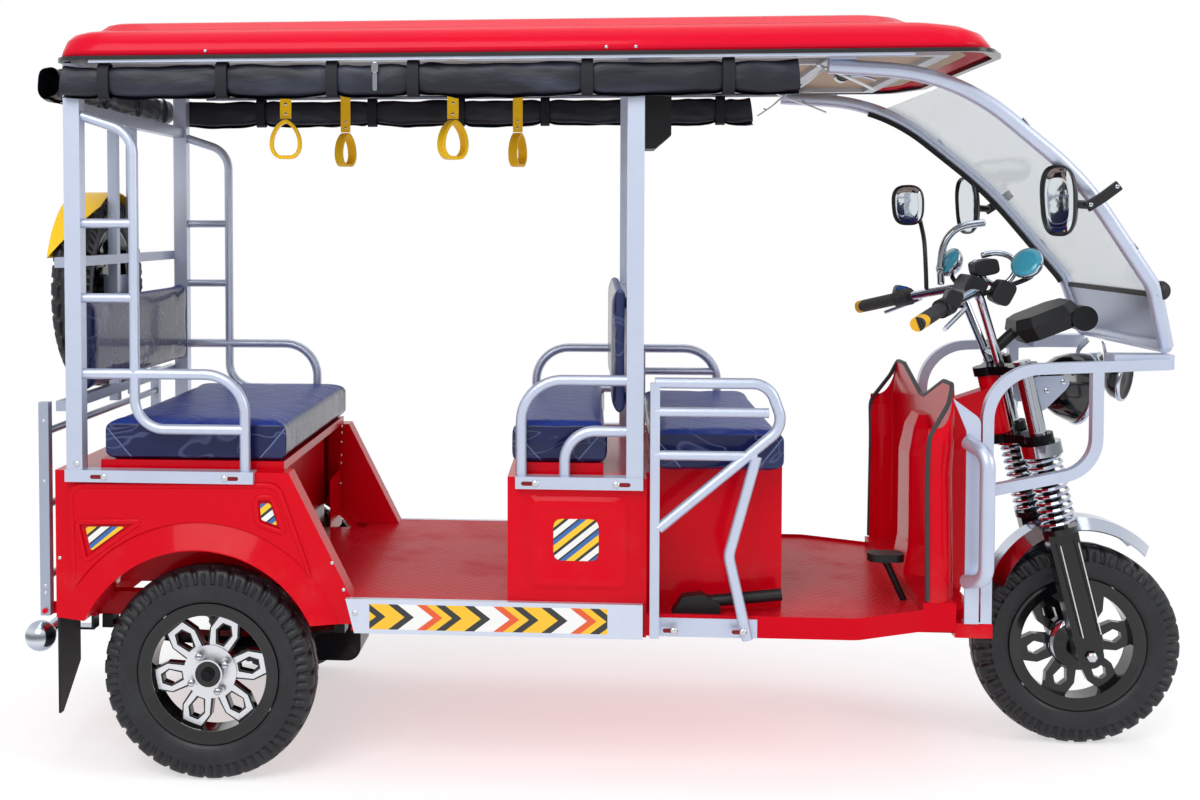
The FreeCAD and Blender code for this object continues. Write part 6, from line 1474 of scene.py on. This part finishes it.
class RICKSHAW_OT_trims(bpy.types.Operator):
    """Edge trim of the leg shield, ridges of the rear panels and striped patches in their pockets"""
    bl_idname = "rickshaw.trims"
    bl_label = "Trims and ridges"

    def execute(self, context):
        piece = band("leg_shield_trim", leg_shield_edge(), 0.009, 0.010, "edge rubber", up=ALONG)
        with_modifier(piece, "BEVEL", width=0.0025, segments=2, limit_method="ANGLE")
        bead = oval(0.0065, 0.0040, 12)
        for name, side in SIDES:
            face = side * RIDGE_FACE
            line = arcs([(x, face, z) for x, z in PANEL_RIDGE], (0.03, 0.03), 120)
            grow = np.sin(np.linspace(0.0, 1.0, len(line)) * math.pi) ** 0.15
            mend(skin(f"{name}_panel_frame", along(line, bead[None] * grow[:, None, None], ACROSS),
                      weave(len(line), len(bead), False, True), "red paint"))
            for pocket, corners in POCKETS.items():
                ring = closed_rounded(corners, 0.012, 90)
                loop = np.column_stack([ring[:, 0], np.full(len(ring), face), ring[:, 1]])
                mend(skin(f"{name}_{pocket}_pocket", along(loop, bead, ACROSS, True),
                          weave(len(loop), len(bead), True, True), "red paint"))
                centre = np.asarray(corners).mean(axis=0)
                patch = closed_rounded(centre + (np.asarray(corners) - centre) * POCKET_FILL, 0.006, 40)
                slabs(f"{name}_{pocket}_patch", patch, [(0, side * 0.4592, 0)], ALONG, UP, 0.0012, "patch")
            slabs(f"{name}_seat_patch", closed_rounded(SEAT_PATCH, 0.02, 40), [(0, side * 0.4558, 0)], ALONG,
                  UP, 0.0012, "patch")
        return {"FINISHED"}


# profiles of (distance from the axis, height along it)
LAMP_BOWL = ((0.0, -0.108), (0.020, -0.107), (0.042, -0.098), (0.064, -0.078), (0.080, -0.048),
             (0.087, -0.018), (0.088, -0.004))
LAMP_RIM = ((0.0875, -0.004), (0.0915, -0.003), (0.0925, 0.004), (0.0905, 0.011), (0.084, 0.0125),
            (0.082, 0.009))
LAMP_LENS = ((0.084, 0.0085), (0.075, 0.0125), (0.05, 0.017), (0.025, 0.019), (0.0, 0.0195))
HORN_SHELL = ((0.0, -0.042), (0.018, -0.042), (0.022, -0.036), (0.034, -0.030), (0.044, -0.018),
              (0.047, -0.004), (0.047, 0.0))
HORN_RING = ((0.0465, -0.001), (0.0500, 0.0), (0.0505, 0.004), (0.0485, 0.008), (0.044, 0.008))
HORN_FACE = ((0.0445, 0.0075), (0.038, 0.004), (0.022, 0.003), (0.012, 0.006), (0.0, 0.007))
DRUM_COVER = ((0.0, 0.0225), (0.030, 0.0225), (0.042, 0.0215), (0.048, 0.019), (0.064, 0.006), (0.066, 0.003),
              (0.066, -0.004))
# name, profile, finish, slot
LAMP_PARTS = (("lamp_bowl", LAMP_BOWL, "gloss black", "gloss_black"),
              ("lamp_rim", LAMP_RIM, "chrome", "chrome"),
              ("lamp_lens", LAMP_LENS, "lamp glass", "screen_glass"))
HORN_PARTS = (("horn_shell", HORN_SHELL, "gloss black", "gloss_black"),
              ("horn_ring", HORN_RING, "chrome", "chrome"),
              ("horn_face", HORN_FACE, "moulded black", "black_plastic"))
HORN_SCALE = 1.12
# place, direction that the horn faces
HORNS = (((1.300, 0.090, 0.906), (0.80, -0.58, -0.15)), ((1.268, 0.208, 0.913), (0.86, -0.48, -0.15)))
LAMP_PLACE = (1.168, 0.0, 0.892)
LAMP_FACING = (0.97, 0.0, -0.24)
# x and z of the lamp's bracket plate and of its bolts
LAMP_PLATE = ((1.022, 0.930), (1.100, 0.934), (1.112, 0.918), (1.104, 0.902), (1.048, 0.845), (1.030, 0.850))
LAMP_BOLTS = ((1.095, 0.918), (1.056, 0.896))
# the outer face of a fork leg from its top to its foot, and the distance of a line from the middle of it
LEG_FACE = ((1.0955, 0.148 + 0.010 * (0.53 - 0.32) / 0.225, 0.530), (1.1555, 0.1478, 0.305))
LEG_LINES = (("rear", -0.021), ("front", 0.021))
AXLE_Z = 0.2525


class RICKSHAW_OT_front(bpy.types.Operator):
    """Headlamp, horns, brake drum and fork fittings"""
    bl_idname = "rickshaw.front"
    bl_label = "Front fittings"

    def execute(self, context):
        body = "steering"
        for name, profile, finish, slot in LAMP_PARTS:
            piece = spun(name, profile, 56, LAMP_FACING, LAMP_PLACE, finish, body)
            if name == "lamp_bowl":
                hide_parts("headlamp")
        for name, side in SIDES:
            slabs(f"{name}_lamp_plate", closed_rounded(LAMP_PLATE, 0.012, 48), [(0, side * 0.0935, 0)], ALONG,
                  UP, 0.003, "galvanised", body, bevel=0.0006)
            studs(f"{name}_lamp_bolts", [(x, side * 0.095, z) for x, z in LAMP_BOLTS], (0, side, 0), 0.008,
                  0.005, "chrome", body, 6)
            for edge, shift in LEG_LINES:
                line = [(x + shift, side * y, z + shift * 0.22) for x, y, z in LEG_FACE]
                wire(f"{name}_leg_{edge}_line", line, 0.0013, "white line", body, 8, 10)
            steel_heads(f"{name}_axle_nut", side, [(FRONT_X, side * 0.1465, AXLE_Z)], 0.0135, 0.011, body, 6)
        spun("drum_cover", DRUM_COVER, 48, (0, -1, 0), (FRONT_X, -0.0180, AXLE_Z), "chrome",
             "front_wheel")
        for number, (place, facing) in enumerate(HORNS, 1):
            for name, profile, finish, slot in HORN_PARTS:
                piece = spun(f"{name}_{number}", np.asarray(profile) * HORN_SCALE, 40, facing, place, finish)
                if number == 1 and name == "horn_shell":
                    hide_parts("horns")
            x, y, z = place
            strap = smooth_path([(x - 0.038, y + 0.026, z + 0.004), (x - 0.036, y + 0.022, z + 0.055),
                                 (1.252, y + 0.008, 1.000)], 12)
            band(f"horn_strap_{number}", strap, 0.020, 0.0035, "galvanised", up=ALONG)
        return {"FINISHED"}


FLOOR_HALF = 30
FLOOR_GLOW = 0.56
FLOOR_FADE = (1.9, 3.6)
WHITE = (1.0, 1.0, 1.0, 1.0)
SKY_COLOUR = (0.93, 0.96, 1.0, 1.0)
SKY_STRENGTH = 0.42
# name, place, size, power, turn in degrees
LAMPS = (("key", (-1.6, -4.6, 4.6), 3.2, 165.0, (47, 0, -16)),
         ("sky", (0.3, 0.6, 6.0), 6.0, 130.0, (0, 0, 0)),
         ("front", (5.5, -2.4, 3.0), 2.6, 80.0, (62, 0, 68)))
CAMERA_PLACE = (-0.0539, -3.8, 1.3015)
CAMERA_TURN = (math.radians(87.8), 0, 0.0837)
CAMERA_LENS = {"sensor_width": 36.0, "lens": 44.18, "shift_x": 0.1084, "shift_y": -0.0984}


def studio_paper(colour):
    """The floor's finish: paper with a glow near the vehicle, turning to plain white further out."""
    finish = Finish("studio floor")
    paper = finish.add("BsdfDiffuse", values=[(*colour, 1.0)])
    glow = finish.add("Emission", values=[WHITE, FLOOR_GLOW])
    white = finish.add("Emission", values=[WHITE, 1.0])
    x, y = finish.axes()[:2]
    away = ((x ** 2 + y ** 2) ** 0.5).ramp(*FLOOR_FADE)
    near = finish.add("AddShader", values=[paper, glow])
    finish.put(finish.out.inputs[0], finish.add("MixShader", values=[away, near, white]))
    return finish.material


def studio_world():
    """A soft pale light all round, and plain white where the camera, a reflection or clear glass looks."""
    world = bpy.data.worlds.new("studio")
    world.use_nodes = True
    tree = world.node_tree
    tree.nodes.clear()
    out = tree.nodes.new("ShaderNodeOutputWorld")
    rays = tree.nodes.new("ShaderNodeLightPath").outputs
    seen = rays["Is Camera Ray"]
    for ray in ("Is Glossy Ray", "Is Transmission Ray"):
        most = tree.nodes.new("ShaderNodeMath")
        most.operation = "MAXIMUM"
        tree.links.new(seen, most.inputs[0])
        tree.links.new(rays[ray], most.inputs[1])
        seen = most.outputs[0]
    mix = tree.nodes.new("ShaderNodeMixShader")
    tree.links.new(seen, mix.inputs[0])
    for place, (colour, strength) in enumerate(((SKY_COLOUR, SKY_STRENGTH), (WHITE, 1.0)), 1):
        light = tree.nodes.new("ShaderNodeBackground")
        light.inputs[0].default_value = colour
        light.inputs[1].default_value = strength
        tree.links.new(light.outputs[0], mix.inputs[place])
    tree.links.new(mix.outputs[0], out.inputs[0])
    return world


def stand(scene, name, data, place, turn):
    """Puts a lamp or the camera in its place."""
    holder = bpy.data.objects.new(name, data)
    holder.location = place
    holder.rotation_euler = turn
    scene.collection.objects.link(holder)
    return holder


class RICKSHAW_OT_stage(bpy.types.Operator):
    """Floor, soft light and the camera at the photograph's angle"""
    bl_idname = "rickshaw.stage"
    bl_label = "Floor, light and camera"

    def execute(self, context):
        scene = context.scene
        corners = [(x * FLOOR_HALF, y * FLOOR_HALF, 0) for x, y in ((-1, -1), (1, -1), (1, 1), (-1, 1))]
        plane = skin("studio_floor", corners, [(0, 1, 2, 3)], "tan", smooth=False)
        plane.data.materials.clear()
        plane.data.materials.append(studio_paper(scene.rickshaw_colours.floor))
        scene.world = studio_world()
        for name, place, size, power, turn in LAMPS:
            lamp = bpy.data.lights.new(name, "AREA")
            lamp.size = size
            lamp.energy = power
            stand(scene, name, lamp, place, [math.radians(angle) for angle in turn])
        eye = bpy.data.cameras.new("view")
        for setting, value in CAMERA_LENS.items():
            setattr(eye, setting, value)
        scene.camera = stand(scene, "view", eye, CAMERA_PLACE, CAMERA_TURN)
        scene.view_settings.view_transform = "Standard"
        return {"FINISHED"}


OPERATORS = (RICKSHAW_OT_finish_nodes, RICKSHAW_OT_cushions, RICKSHAW_OT_tyres, RICKSHAW_OT_curtains,
             RICKSHAW_OT_hand_loops, RICKSHAW_OT_mirrors, RICKSHAW_OT_windshield, RICKSHAW_OT_roof,
             RICKSHAW_OT_fasteners, RICKSHAW_OT_cockpit, RICKSHAW_OT_trims, RICKSHAW_OT_front,
             RICKSHAW_OT_stage)


class RICKSHAW_PT_panel(bpy.types.Panel):
    """The vehicle's sizes, colours and steps"""
    bl_label = "Auto rickshaw"
    bl_space_type = "VIEW_3D"
    bl_region_type = "UI"
    bl_category = "Rickshaw"

    def draw(self, context):
        for group in (context.scene.rickshaw_sizes, context.scene.rickshaw_colours):
            for name in group.__annotations__:
                self.layout.prop(group, name)
        for operator in OPERATORS:
            self.layout.operator(operator.bl_idname)


CLASSES = (RickshawSizes, RickshawColours, *OPERATORS, RICKSHAW_PT_panel)


def register():
    for piece in CLASSES:
        bpy.utils.register_class(piece)
    bpy.types.Scene.rickshaw_sizes = bpy.props.PointerProperty(type=RickshawSizes)
    bpy.types.Scene.rickshaw_colours = bpy.props.PointerProperty(type=RickshawColours)


def unregister():
    del bpy.types.Scene.rickshaw_colours
    del bpy.types.Scene.rickshaw_sizes
    for piece in reversed(CLASSES):
        bpy.utils.unregister_class(piece)


def main():
    register()
    for operator in OPERATORS:
        category, name = operator.bl_idname.split(".")
        getattr(getattr(bpy.ops, category), name)()


if __name__ == "__main__":
    main()
